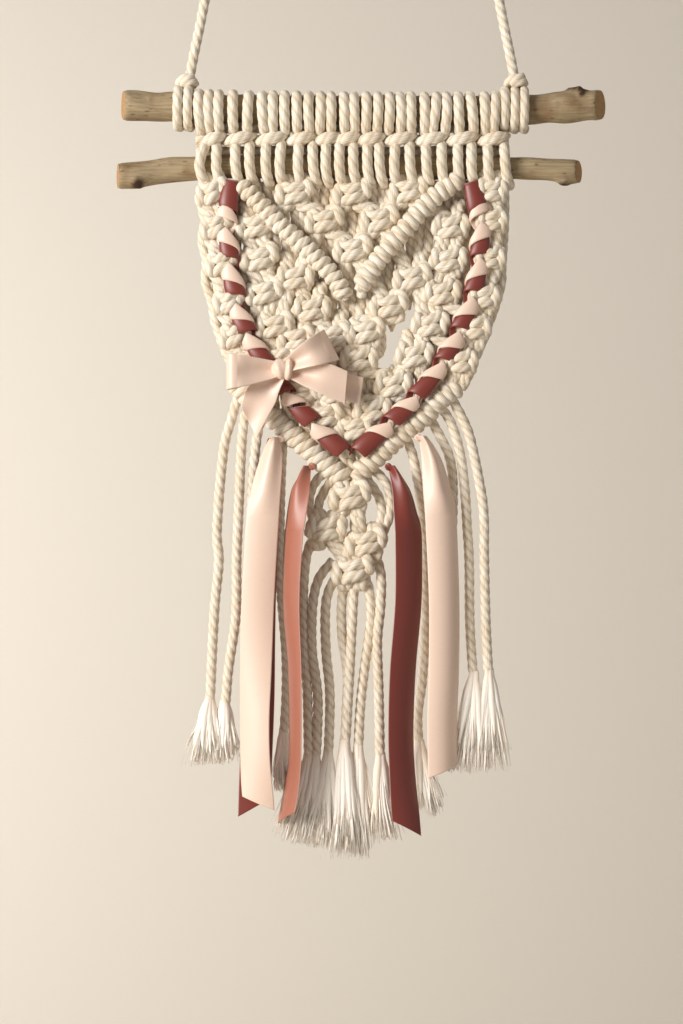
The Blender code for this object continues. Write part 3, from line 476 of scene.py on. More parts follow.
def branch_skin(sections, bumps, left_skew, right_skew, seed):
    """A branch. Along a bent line, each ring's reach is its radius, plus low waves in the bark, plus a round
    swelling for each knot with a dimple in its middle. The end rings lean as the saw cut them, and the ends
    close on rings of the same shape, drawn in step by step to a point."""
    noise = np.random.default_rng(seed)
    line = smooth_line(sections, 1.0)
    around = BRANCH_SIDES
    angle = 2 * math.pi * np.arange(around) / around
    x = line[:, 0, None]
    reach = line[:, 3, None] * np.ones(around)
    for _ in range(26):
        size, wave, turns = noise.uniform(0.02, 0.12), noise.uniform(0.04, 0.4), noise.integers(0, 5)
        reach = reach + size * np.sin(wave * x + turns * angle + noise.uniform(0, 6.28))
    dark = np.zeros_like(reach)
    for bump in bumps:
        away = (angle - math.radians(bump.angle) + math.pi) % (2 * math.pi) - math.pi
        far = np.hypot(x - bump.x, away * line[:, 3, None]) / bump.wide
        rough = 1 + 0.14 * np.sin(5 * angle + 1.1 * x) + 0.06 * np.sin(1.9 * x - 9 * angle)
        swell = np.exp(-(far**2) * 2.0) - 0.35 * np.exp(-(far**2) * 12.0)
        reach = reach + bump.high * swell * rough
        dark = np.maximum(dark, bump.dark * np.exp(-(far**2) * 1.6))
    ramp = np.clip(np.minimum(np.arange(len(line)), len(line) - 1 - np.arange(len(line))) / 2.0, 0, 1)
    reach = reach * (0.93 + 0.07 * ramp[:, None])
    y = line[:, 1, None] - reach * np.cos(angle)
    z = line[:, 2, None] + reach * np.sin(angle)
    share = np.linspace(0, 1, len(line))[:, None]
    skew = left_skew * np.clip(1 - share * 12, 0, 1) + right_skew * np.clip(share * 12 - 11, 0, 1)
    rings = np.stack([x + skew * np.cos(angle), y, z], axis=-1)
    first, last = (ring.mean(axis=0) + (ring - ring.mean(axis=0)) * SAW_CUT for ring in (rings[0], rings[-1]))
    rings = np.concatenate([first[::-1], rings, last])
    dark[[0, -1]] = 0.45  # the bark left round a saw cut
    bare = np.zeros((len(SAW_CUT), around))
    quads = tube_faces(len(rings), around)
    caps = np.stack([np.arange(around), np.arange(around)[::-1] + (len(rings) - 1) * around])
    uv = np.zeros((quads.size + caps.size, 2))
    return Skin(rings.reshape(-1, 3), [quads, caps], uv, np.concatenate([bare, dark, bare]).ravel())


for name, sections, bumps, skews, seed, node in (
    ("branch_upper", TOP_BRANCH, TOP_BUMPS, (1.6, -3.2), 3, "branch_top"),
    ("branch_lower", LOW_BRANCH, LOW_BUMPS, (1.2, -2.0), 8, "branch_low"),
):
    skin = branch_skin([(x * DRAWN_IN, y, z, r) for x, y, z, r in sections], bumps, *skews, seed)
    stick = piece(name, [skin], bark, node)
    stick.data.materials.append(sawn)
    on_cut = len(SAW_CUT) * BRANCH_SIDES
    end_faces = np.zeros(len(stick.data.polygons), np.int32)
    end_faces[:on_cut] = 1
    end_faces[len(skin.faces[0]) - on_cut :] = 1
    stick.data.polygons.foreach_set("material_index", end_faces)
    stick.data.polygons.foreach_set("use_smooth", end_faces == 0)

# ---------------------------------------------------------------- Heading on the top branch
# Cords folded over the branch side by side, pressed flat on top of it, with the wood showing between them.
# At each end a leg of the hanging cord makes round turns and ends in a small knot on top.

HEAD_WRAPS = [
    -73.0, -68.4, -63.8, -56.9, -49.6, -42.7, -37.9, -32.2, -26.4, -20.6, -15.1, -10.1, -3.8, 1.0, 6.7, 12.2,
    17.8, 23.0, 28.1, 34.6, 39.6, 44.8, 50.9, 57.1, 63.4, 68.3,
]  # fmt: skip
# Round the branch, from its middle: towards the wall, and up.
HEAD_TURN = [
    (2.0, -10.8), (-2.4, -10.7), (-6.4, -8.8), (-8.8, -5.2), (-9.3, 0.0), (-7.5, 4.2), (-3.9, 6.0), (0.4, 6.3),
    (4.6, 5.6), (8.2, 2.0), (8.8, -3.0), (6.6, -8.0), (2.4, -10.6),
]  # fmt: skip
draw = np.random.default_rng(5)


def middle_at(sections, x):
    """Where a branch's middle is at x: towards the wall, and up."""
    table = np.array(sections)
    return np.interp(x, table[:, 0], table[:, 1]), np.interp(x, table[:, 0], table[:, 2])


heading = []
for x in HEAD_WRAPS:
    deep, high = middle_at(TOP_BRANCH, x)
    lean = draw.normal(0, 0.5)
    bow_out = draw.normal(0, 0.25)
    route = [
        (x + lean * z / 12 + bow_out * math.cos(z / 4), deep + y, high + z + draw.normal(0, 0.12))
        for y, z in HEAD_TURN
    ]
    heading.append(cord_skin(route, 2.62, step=0.9, lay=17.0, phase=draw.uniform(0, 1), plies=TIGHT_PLIES))
# A carrying cord lies behind the feet of the turns.
heading.append(cord_skin([(x, 2.2, -100.9 + 0.3 * math.cos(x)) for x in np.linspace(-72.0, 72.0, 12)], 2.9))
piece("heading_cords", heading, cotton, "head_wraps")

HITCH_TURNS = {"left": [-83.0, -78.2], "right": [73.2, 77.9, 82.4]}
HITCH_ROUND = [
    (0.0, -9.4), (-6.2, -7.4), (-8.9, -2.0), (-8.4, 3.6), (-5.0, 7.6), (0.0, 8.9), (5.4, 7.4), (8.7, 2.6),
    (8.6, -3.4), (5.0, -8.0), (0.0, -9.4),
]  # fmt: skip
for side, places in HITCH_TURNS.items():
    turns = []
    for x in places:
        deep, high = middle_at(TOP_BRANCH, x)
        route = [
            (x + 1.0 * (i / 10 - 0.5), deep + y, high + z) for i, (y, z) in enumerate(HITCH_ROUND)
        ]
        turns.append(cord_skin(route, 2.4, step=0.9, lay=17.0, phase=draw.uniform(0, 1), plies=TIGHT_PLIES))
    cx = -79.2 if side == "left" else 78.6
    wide = 3.7 if side == "left" else 3.9
    angle = np.linspace(-0.6, 2 * math.pi + 0.9, 18)
    knot = [
        (cx + wide * math.sin(a), -0.6 - 4.0 * math.cos(a), -81.4 + 0.9 * math.sin(a + 0.8) + 0.16 * i)
        for i, a in enumerate(angle)
    ]
    turns.append(cord_skin(knot, 2.3, step=0.9))
    piece(f"hitch_{side}", turns, cotton, f"hanger_hitch_{side}")

# ---------------------------------------------------------------- Row between the branches
# One row of hitches over a carrying cord. Each shows as a fat slanted bar of twisted cord, low on its left
# and high on its right, and overlaps the next like the strands of a rope.

BARS = [
    (-71.6, -60.6), (-61.6, -46.0), (-46.4, -31.0), (-31.4, -17.2), (-18.0, -5.4), (-8.6, 4.2), (2.0, 16.2),
    (15.4, 30.8), (30.2, 45.8), (45.0, 60.6), (60.2, 75.4),
]  # fmt: skip
bars = []
for left, right in BARS:
    share = np.linspace(0, 1, 7)
    x = left + (right - left) * share
    arch = np.sin(math.pi * share)
    route = np.column_stack([x, -1.8 - 3.6 * arch, -109.2 + 3.8 * share, 0.45 + 0.75 * arch**0.7])
    bars.append(cord_skin(route, 2.75, step=0.8, lay=13.0, phase=draw.uniform(0, 1), plies=TIGHT_PLIES))
carrier = [(x, 0.8, -107.2 + 0.3 * math.sin(x)) for x in np.linspace(-75.0, 75.2, 12)]
bars.append(cord_skin(carrier, 2.5))
bars.append(cord_skin([(x, 2.4, -112.6 - 0.3 * math.sin(x)) for x, _, _ in carrier], 3.0))
piece("bar_row_cords", bars, cotton, "bar_row")

# ---------------------------------------------------------------- Wraps on the lower branch
# The same cords come from under the row, pass in front of the lower branch and hook to the right under it.

LOW_WRAPS = [
    -71.8, -64.8, -55.7, -49.0, -41.3, -34.6, -25.9, -18.7, -12.7, -6.2, 0.5, 7.2, 13.0, 20.0, 27.6, 35.4, 42.7,
    50.4, 56.8, 64.8, 73.0,
]  # fmt: skip
LOW_TURN = [
    (1.6, 11.4, 0.0), (-2.6, 10.6, 0.0), (-6.0, 7.4, 0.0), (-7.8, 2.8, 0.0), (-7.9, -1.6, 0.2), (-6.2, -5.6, 0.9),
    (-2.4, -8.0, 2.0), (2.0, -8.2, 2.6), (6.2, -5.8, 2.4), (7.9, -0.6, 1.6), (6.2, 5.6, 0.8), (2.2, 9.6, 0.4),
]  # fmt: skip
wraps = []
for x in LOW_WRAPS:
    deep, high = middle_at(LOW_BRANCH, x)
    lean = draw.normal(0, 0.4)
    route = [(x + shift + lean * z / 12, deep + y, high + z) for y, z, shift in LOW_TURN]
    if x < -70:  # the first turn bows out to the left
        route = [
            (px - 2.6 * math.cos(z / 7.0) + 1.6, py, pz)
            for (px, py, pz), (_, z, _) in zip(route, LOW_TURN, strict=True)
        ]
    wraps.append(cord_skin(route, 2.6, step=0.9, lay=17.0, phase=draw.uniform(0, 1), plies=TIGHT_PLIES))
piece("low_wrap_cords", wraps, cotton, "lower_wraps")

# ---------------------------------------------------------------- Knotted net
# Square knots of four cords each. Two cords are the core. The left cord crosses in front as two stacked bars,
# and the right cord goes behind them twice and shows as an upright loop beside them. Pairs of cords fan out
# from each knot to the next ones down.

NET_CORD = 4.7
NET_DEPTH = -1.5
# Across, towards the viewer, and up, in cord diameters from the knot's middle.
FRONT_CORD = np.array([
    (-0.95, 0.20, 1.25), (-0.98, 0.55, 0.90), (-0.50, 0.90, 0.52), (0.32, 0.98, 0.50), (0.92, 0.58, 0.46),
    (1.12, 0.12, 0.05), (0.92, 0.58, -0.42), (0.32, 0.98, -0.50), (-0.50, 0.90, -0.52), (-0.98, 0.40, -0.75),
    (-0.90, 0.10, -1.25),
])  # fmt: skip
BACK_CORD = np.array([
    (0.95, 0.15, 1.25), (1.20, 0.66, 1.00), (1.42, 0.90, 0.45), (1.48, 0.45, -0.15), (0.85, -0.60, 0.05),
    (0.0, -0.95, 0.32), (-0.90, -0.50, 0.45), (-1.32, 0.30, 0.78), (-1.50, 0.80, 0.30), (-1.48, 0.76, -0.35),
    (-1.24, 0.0, -0.80), (-0.60, -0.80, -0.50), (0.25, -0.95, -0.42), (1.0, -0.45, -0.55), (1.10, 0.10, -0.90),
    (0.92, 0.15, -1.25),
])  # fmt: skip
CORE_CORD = np.array([(0.5, 0.1, 1.25), (0.42, 0.0, 0.6), (0.42, 0.0, -0.6), (0.5, 0.1, -1.25)])

# loop is the side of the upright loop, -1 left and 1 right; out is how far the knot stands out of the net.
Knot = namedtuple("Knot", "x z loop lean wide out", defaults=(1.0, 0.0))
KNOTS = [
    # Left border, down the outer edge.
    Knot(-67.0, -133.4, -1, 0.46, 0.76, 1.6), Knot(-65.0, -149.4, -1, 0.48, 0.76, 1.6),
    Knot(-62.4, -167.0, -1, 0.48, 0.76, 1.6), Knot(-59.0, -185.4, -1, 0.46, 0.76, 1.6),
    Knot(-56.0, -201.6, -1, 0.44, 0.76, 1.6), Knot(-49.6, -216.8, -1, 0.3, 0.8, 1.0),
    # Left of the inner V.
    Knot(-46.4, -149.2, -1, 0.30), Knot(-44.4, -164.8, -1, 0.32), Knot(-42.0, -181.1, -1, 0.34),
    Knot(-37.0, -197.0, -1, 0.30), Knot(-34.0, -212.6, -1, 0.30),
    Knot(-27.4, -174.0, 1, 0.30), Knot(-19.4, -189.0, 1, 0.30), Knot(-26.6, -203.6, -1, 0.26),
    Knot(-9.4, -202.0, -1, 0.30), Knot(-16.8, -216.4, -1, 0.30), Knot(-24.6, -228.4, -1, -0.2),
    Knot(-8.4, -228.6, 1, 0.2), Knot(-13.2, -240.4, -1, 0.2),
    # Inside the inner V.
    Knot(-27.4, -133.1, -1, 0.28), Knot(0.0, -133.6, -1, 0.28), Knot(26.9, -132.2, -1, 0.28),
    Knot(-13.2, -146.8, -1, 0.30), Knot(13.2, -146.2, -1, 0.30), Knot(0.2, -160.6, -1, 0.30),
    # Right of the inner V.
    Knot(47.0, -149.4, 1, 0.32), Knot(46.0, -165.5, 1, 0.34), Knot(43.0, -181.3, 1, 0.34),
    Knot(37.2, -196.4, 1, 0.34), Knot(29.6, -211.3, 1, 0.36), Knot(19.4, -225.4, 1, 0.36),
    Knot(9.6, -237.6, 1, 0.36), Knot(28.8, -174.0, -1, 0.30), Knot(17.6, -187.4, -1, 0.30),
    Knot(6.6, -199.6, -1, 0.34), Knot(3.0, -213.2, 1, 0.30),
    # The lowest knot, in the tip of the V.
    Knot(1.0, -246.4, -1, 0.32),
    # Right border.
    Knot(66.6, -132.6, 1, 0.16, 0.76, 1.6), Knot(66.8, -146.8, 1, 0.1, 0.76, 1.6),
    Knot(66.0, -164.8, 1, 0.1, 0.76, 1.6), Knot(63.2, -183.2, 1, 0.14, 0.76, 1.6),
    Knot(59.0, -198.0, 1, 0.16, 0.76, 1.6), Knot(52.2, -214.2, 1, 0.2, 0.8, 1.4),
]  # fmt: skip


def knot_routes(knot, cord, deep):
    """The four cords through a knot, from left to right as they enter and leave it. The bars' slant is a rise
    in proportion to how far across and how far in front a point is."""
    routes = []
    for shape in (FRONT_CORD, CORE_CORD * (-1, 1, 1), CORE_CORD, BACK_CORD):
        across, front, up = shape.T
        across = -knot.loop * across
        up = up + knot.lean * across * np.clip(front, 0, 1)
        depth = deep - knot.out - front * cord * 0.86
        routes.append(np.column_stack([knot.x + across * cord * knot.wide, depth, knot.z + up * cord]))
    return routes if knot.loop < 0 else routes[::-1]


# The see-through slit on the right: its upper and lower edge.
SLIT_TOP = [(13.2, -219.0), (14.4, -208.6), (19.2, -200.8), (23.0, -194.2), (32.6, -189.0)]
SLIT_FOOT = [(13.2, -219.0), (21.4, -209.4), (26.0, -201.6), (31.0, -195.6), (32.6, -189.0)]


def in_slit(x, z):
    """Whether a place lies inside the slit."""
    low, high = (np.interp(x, *np.transpose(edge)) for edge in (SLIT_FOOT, SLIT_TOP))
    return 12.0 < x < 34.0 and low < z < high


def joined_pairs(knots, cord, furthest=19.0):
    """Which pair of cords leaving a knot goes to which pair entering another: the nearest first, downwards,
    and none across the slit."""
    found = []
    for i, upper in enumerate(knots):
        for j, lower in enumerate(knots):
            if in_slit((upper.x + lower.x) / 2, (upper.z + lower.z) / 2):
                continue
            for out in (0, 1):
                for into in (0, 1):
                    dx = lower.x - upper.x + (into - out) * 1.5 * cord
                    dz = lower.z - upper.z + 2.4 * cord
                    if i != j and dz < 3.0 and math.hypot(dx, dz) < furthest:
                        found.append((math.hypot(dx * 1.15, dz), i, out, j, into))
    links, taken = {}, set()
    for _, i, out, j, into in sorted(found):
        if (i, out) not in links and (j, into) not in taken:
            links[i, out] = (j, into)
            taken.add((j, into))
    return links, taken


# How a loose end goes on past its knot: across, towards the wall, and away from the knot.
RUN_ON = [(0.5, 0.9, 3.0), (1.2, 2.4, 6.4)]
HOOKED = [(0.2, 3.4, 1.2), (-0.4, 5.2, -2.4)]


def knotted(knots, cord, deep, step=1.0, end=RUN_ON):
    """Every cord of a group of knots, each followed from the first knot it enters to the last it leaves."""
    links, taken = joined_pairs(knots, cord)
    routes = [knot_routes(knot, cord, deep) for knot in knots]
    skins = []
    for i, place in ((i, place) for i in range(len(knots)) for place in range(4)):
        if (i, place // 2) in taken:
            continue
        now, at = i, place
        first = routes[now][at][0]
        away = -1.0 if at < 2 else 1.0
        head = HOOKED if in_slit(first[0], first[2] + 3.0) else end
        path = [*(first + (away * a, b, c) for a, b, c in head[::-1]), *routes[now][at]]
        while (now, at // 2) in links:
            now, into = links[now, at // 2]
            at = 2 * into + at % 2
            path.extend(routes[now][at])
        last = routes[now][at][-1]
        away = -1.0 if at < 2 else 1.0
        if knots[now].out:  # the last border knot's cords run in under the V edge
            away = -2.6 * np.sign(knots[now].x)
        tail = HOOKED if in_slit(last[0], last[2] - 3.0) else end
        path.extend(last + (away * a, b, -c) for a, b, c in tail)
        skins.append(cord_skin(path, cord * 0.6, step=step, lay=14.5, phase=draw.uniform(0, 1)))
    return skins


piece("net_cords", knotted(KNOTS, NET_CORD, NET_DEPTH, step=1.05), cotton, "net_panel")

# The cords that pass from row to row behind the knots, kept out of the slit on the right.
NET_FOOT = [
    (-71.5, -150.0), (-68.0, -185.0), (-62.0, -206.0), (-55.0, -222.0), (-38.9, -238.0), (-21.6, -252.0),
    (-12.0, -260.0), (-1.6, -267.0), (6.7, -265.0), (14.4, -259.0), (27.8, -247.0), (44.6, -230.0),
    (53.4, -221.0), (63.0, -200.0), (68.0, -188.0), (72.0, -172.0),
]  # fmt: skip
behind = []
for x in np.arange(-69.0, 71.0, 4.6):
    foot = np.interp(x, *np.transpose(NET_FOOT))
    spans = [(-127.0, foot, 0.0)]
    if 12.0 < x < 34.0:
        gap = np.interp(x, *np.transpose(SLIT_TOP)) + 3.0, np.interp(x, *np.transpose(SLIT_FOOT)) - 2.0
        spans = [(-127.0, gap[0], gap[0]), (gap[1], foot, gap[1])]
    for high, low, cut in spans:
        z = np.linspace(high, low, max(4, round((high - low) / 4)))
        wave = draw.uniform(0, 6.28)
        thin = np.clip(0.25 + np.abs(z - cut) / 7, 0, 1)  # beside the slit a cord turns away and thins out
        route = np.column_stack([x + 0.8 * np.sin(z / 6.5 + wave), 1.9 + 0.8 * np.cos(z / 5 + wave), z, thin])
        behind.append(cord_skin(route, 2.75, step=1.4, phase=wave))
# The outermost cord of each side, from loop to loop.
BORDERS = [
    [(-71.5, -127.0), (-72.2, -138.5), (-70.6, -147.0), (-72.0, -155.0), (-70.0, -165.5), (-70.4, -175.0),
     (-67.4, -185.0), (-65.8, -194.0), (-62.0, -205.5), (-57.6, -215.5), (-51.4, -226.0)],
    [(73.3, -127.0), (73.3, -145.0), (72.1, -167.7), (71.6, -176.8), (67.8, -190.2), (63.0, -201.8),
     (60.6, -209.4), (53.0, -221.0), (47.0, -228.6)],
]  # fmt: skip
for border in BORDERS:
    route = [(x, -0.6 if i % 2 else 0.8, z) for i, (x, z) in enumerate(border)]
    behind.append(cord_skin(route, 2.3, phase=0.3))
piece("passing_cords", behind, cotton, "net_panel")

# ---------------------------------------------------------------- Ridges
# Hitches packed side by side over a carrying cord: two ridges inside the net, and the V edge under it.

RIDGES = {
    "ridge_inner_left": (
        [(-52.4, -5.6, -130.4), (-43.2, -6.0, -139.4), (-33.1, -6.4, -149.9), (-22.6, -6.4, -159.0),
         (-14.9, -6.2, -166.7), (-6.9, -5.8, -176.3), (-2.9, -4.8, -184.6)], 2.5, 2.4, 4.4, 2.45, 12.5),
    "ridge_inner_right": (
        [(49.6, -5.4, -127.9), (37.0, -6.4, -137.4), (25.0, -7.0, -150.9), (13.4, -6.8, -164.3),
         (2.4, -5.8, -180.2)], 2.7, 2.6, 4.15, 2.4, 20.0),
}  # fmt: skip


def coil(line, wide, deep, pitch, tilt=0.0):
    """Turns round a line: an oval, wide across it and deep towards the viewer. A turn stays where it is over
    the front half, apart from its tilt, and moves on by one pitch in a smooth step behind."""
    route = smooth_line(line, 0.8)
    across = unit(np.cross(unit(np.gradient(route, axis=0)), (0.0, 1.0, 0.0)))
    along = lengths(route)
    angle = np.arange(0, 2 * math.pi * along[-1] / pitch, 0.4)
    whole, part = np.divmod(angle / (2 * math.pi), 1.0)
    moved = np.clip(part * 2 - 1, 0, 1)
    at = pitch * (whole + moved * moved * (3 - 2 * moved)) + tilt * np.cos(angle)
    middle, sideways = read_at(at, along, route), read_at(at, along, across)
    front = np.array([0.0, -1.0, 0.0])
    return middle + sideways * wide * np.cos(angle)[:, None] + front * deep * np.sin(angle)[:, None]


ridges = []
for line, wide, deep, pitch, radius, lay in RIDGES.values():
    plies = FREE_PLIES if lay < LAY else TIGHT_PLIES
    ridges.append(cord_skin(coil(line, wide, deep, pitch, 0.5), radius, step=0.8, lay=lay, plies=plies))
    ridges.append(cord_skin(line, 2.2, step=1.5))
piece("inner_ridges", ridges, cotton, "net_panel")

RIM = {
    "left": [(-55.0, -0.4, -224.6), (-50.4, -0.8, -229.4), (-38.9, -1.2, -239.6), (-24.0, -1.4, -253.0),
             (-10.6, -1.2, -264.4), (-1.8, -0.6, -271.0)],
    "right": [(49.2, -0.6, -226.4), (43.3, -1.2, -230.4), (38.0, -1.4, -236.1), (32.6, -1.6, -241.3),
              (23.1, -1.8, -248.6), (15.1, -1.8, -256.3), (8.4, -1.4, -262.2), (1.0, -0.6, -269.2)],
}  # fmt: skip
for side, line in RIM.items():
    wound = coil(line, 3.1, 2.5, 4.4, 1.5) if side == "left" else coil(line, 3.1, 2.9, 4.2, -0.2)
    turns = cord_skin(wound, 2.6, step=0.8, lay=13.0 if side == "left" else 19.0, plies=TIGHT_PLIES)
    core = cord_skin(line, 2.4, step=1.5)
    piece(f"v_edge_{side}", [turns, core], cotton, f"edge_fringe_{side}")

# ---------------------------------------------------------------- Knotted point
# Under the tip of the V four larger knots close the net: one, then two side by side, then one. Cords from
# the V edge pass round the outside of the first into the second row.

POINT_CORD = 5.1
POINT_KNOTS = [
    Knot(-1.0, -278.8, -1, 0.32), Knot(-12.5, -294.2, 1, 0.30), Knot(6.7, -300.8, -1, 0.34),
    Knot(0.4, -314.0, -1, 0.32),
]  # fmt: skip
POINT_SIDES = [
    [(-10.0, 1.0, -264.0), (-18.0, 1.4, -272.0), (-20.6, 1.4, -281.0), (-18.4, 1.0, -290.0), (-15.6, 0.6, -298.0)],
    [(-6.0, 1.6, -266.0), (-14.0, 1.8, -277.0), (-16.4, 1.6, -286.0), (-13.4, 1.2, -296.0)],
    [(9.0, 1.0, -264.0), (16.4, 1.0, -272.0), (18.8, 0.8, -283.0), (16.6, 0.6, -292.0), (12.4, 0.4, -300.0)],
    [(5.0, 1.6, -267.0), (12.6, 1.8, -278.0), (14.4, 1.4, -288.0), (10.6, 1.0, -298.0)],
]  # fmt: skip
point = knotted(POINT_KNOTS, POINT_CORD, -0.6, step=0.9, end=HOOKED)
point.extend(cord_skin(route, 2.4, phase=draw.uniform(0, 1)) for route in POINT_SIDES)
piece("point_knots", point, cotton, "point_fringe")

# ---------------------------------------------------------------- Fringe cords
# Below the V edge the cords hang free. Each ends in a brush where its three plies are combed out.

LEFT_CORDS = [
    [(-53.5, 1.5, -226.0), (-57.8, 1.8, -241.0), (-61.8, 1.6, -257.0), (-64.8, 1.2, -294.0),
     (-63.9, 1.2, -309.0), (-65.9, 1.5, -331.0), (-67.3, 1.3, -357.0), (-68.3, 1.0, -381.0)],
    [(-48.5, 1.5, -231.0), (-52.4, 2.0, -246.0), (-54.8, 1.8, -294.0), (-55.4, 1.6, -309.0),
     (-55.8, 1.6, -336.0), (-59.4, 1.4, -362.0), (-61.0, 1.2, -383.0)],
    [(-42.5, 2.0, -236.5), (-46.0, 2.6, -252.0), (-48.4, 2.4, -285.0), (-48.8, 2.0, -330.0),
     (-49.6, 2.0, -372.0), (-48.6, 2.0, -397.0)],
    [(-32.0, 1.5, -245.0), (-33.6, 2.2, -258.0), (-34.6, 2.0, -288.0), (-34.4, 1.8, -319.0),
     (-31.8, 1.6, -352.0), (-31.6, 1.6, -374.0), (-33.0, 1.8, -397.0)],
]  # fmt: skip
RIGHT_CORDS = [
    [(26.0, 1.5, -249.5), (30.0, 2.2, -262.0), (33.6, 2.0, -286.0), (34.6, 1.8, -309.0), (34.9, 1.6, -345.0),
     (33.8, 1.4, -366.0), (31.6, 1.2, -384.0), (32.4, 1.2, -402.0)],
    [(37.4, 2.0, -240.6), (43.2, 2.8, -251.0), (47.0, 2.8, -260.0), (48.6, 2.6, -275.0), (47.6, 2.4, -309.0),
     (45.8, 2.2, -345.0), (45.0, 2.0, -386.0)],
    [(42.7, 1.5, -235.4), (47.8, 1.8, -243.5), (51.8, 1.6, -256.5), (54.2, 1.4, -274.0), (55.4, 1.4, -294.0),
     (56.3, 1.4, -309.0), (56.7, 1.4, -341.0), (58.6, 1.2, -369.0)],
    [(47.4, 1.5, -230.4), (52.8, 1.6, -240.2), (56.6, 1.6, -249.6), (60.6, 1.4, -268.0), (63.3, 1.2, -286.0),
     (63.6, 1.2, -309.0), (64.4, 1.2, -341.0), (65.9, 1.0, -368.0)],
]  # fmt: skip
POINT_CORDS = [
    [(-17.0, 1.0, -295.0), (-21.6, 2.6, -306.0), (-23.4, 2.6, -325.0), (-22.8, 2.4, -352.0),
     (-21.4, 2.2, -374.0), (-20.8, 2.0, -408.0)],
    [(-9.0, 1.5, -309.0), (-16.0, 2.2, -318.0), (-18.9, 1.8, -331.0), (-19.2, 1.6, -352.0),
     (-16.4, 1.6, -376.0), (-17.4, 1.8, -408.0)],
    [(-5.0, 0.5, -314.0), (-10.4, 0.8, -322.0), (-12.7, 0.8, -332.0), (-12.5, 0.8, -352.0),
     (-10.6, 0.8, -374.0), (-11.4, 1.0, -406.0)],
    [(-1.0, 2.0, -315.0), (-4.6, 2.8, -326.0), (-4.8, 3.0, -345.0), (-2.2, 3.2, -366.0), (-3.8, 3.0, -402.0)],
    [(1.5, 0.0, -316.0), (0.8, -0.6, -326.0), (-0.2, -0.8, -345.0), (-1.4, -0.6, -368.0),
     (-3.4, -0.2, -402.0)],
    [(4.0, 1.0, -314.0), (8.0, 1.6, -322.0), (9.0, 1.8, -338.0), (6.2, 2.0, -360.0), (4.0, 2.0, -380.0),
     (3.0, 1.6, -404.0)],
    [(9.0, 1.0, -303.0), (13.6, 0.8, -314.0), (13.8, 0.4, -330.0), (12.2, 0.4, -348.0), (12.9, 0.4, -372.0),
     (13.6, 0.6, -408.0)],
]  # fmt: skip
# For each cord's brush: how far its fibres spread to each side, how low they reach, and how far they lean.
Brush = namedtuple("Brush", "spread bottom lean")
LEFT_BRUSHES = [
    Brush(9.5, -408.0, -2.5), Brush(6.5, -407.0, 1.0), Brush(5.0, -417.0, 1.5), Brush(6.0, -421.0, 1.0),
]  # fmt: skip
RIGHT_BRUSHES = [
    Brush(5.2, -432.5, 5.6), Brush(6.0, -411.0, 1.0), Brush(9.0, -411.5, -3.5), Brush(9.0, -411.0, 1.0),
]  # fmt: skip
POINT_BRUSHES = [
    Brush(9.0, -445.0, -7.0), Brush(8.0, -446.0, -4.0), Brush(8.5, -448.0, -3.0), Brush(7.0, -450.0, 1.0),
    Brush(8.0, -452.5, 0.5), Brush(7.0, -452.5, 1.5), Brush(6.5, -444.5, 2.5),
]  # fmt: skip

# Combed-out cotton: the same fibre as the cord, without its creases and paler. Its fibres lie 0.45 mm apart
# and 16 mm long, where single ones would be too fine to show.
combed = bare_material("combed-out cotton fibre")
combed_uv = add(combed, "UVMap", uv_map="lay")
strand = add(combed, "Attribute", attribute_name="crown")
combed_place = add(
    combed, "Mapping", {"Vector": combed_uv, "Scale": (1 / 0.45, 1 / 16.0, 1.0)}
)
combed_streaks = add(
    combed,
    "TexNoise",
    {"Vector": combed_place, "Scale": 1.0, "Detail": 2.0, "Roughness": 0.6},
    noise_dimensions="2D",
)
combed_range = add(
    combed,
    "MapRange",
    {"Value": combed_streaks, "From Min": 0.35, "From Max": 0.55, "To Min": 0.86, "To Max": 1.0},
)
# Painted shade: strands further back and near the cord get the darker colour, with a random tone added.
combed_base = add(
    combed,
    "Mix",
    {0: strand, 6: linear("F8E2C8"), 7: linear("FFF8EE")},
    data_type="RGBA",
)
combed_colour = add(
    combed,
    "Mix",
    {0: 1.0, 6: combed_base, 7: combed_range},
    data_type="RGBA",
    blend_type="MULTIPLY",
)
combed_bump = add(
    combed,
    "Bump",
    {"Height": combed_streaks, "Strength": 0.3, "Distance": 0.2 * MM},
)
combed_shader = add(
    combed,
    "BsdfPrincipled",
    {
        "Base Color": combed_colour,
        "Roughness": 0.85,
        "IOR": 1.45,
        "Specular IOR Level": 0.2,
        "Sheen Weight": 0.15,
        "Sheen Roughness": 0.6,
        "Sheen Tint": linear("FFF9F0"),
        "Normal": combed_bump,
    },
)
add(combed, "OutputMaterial", {"Surface": combed_shader})


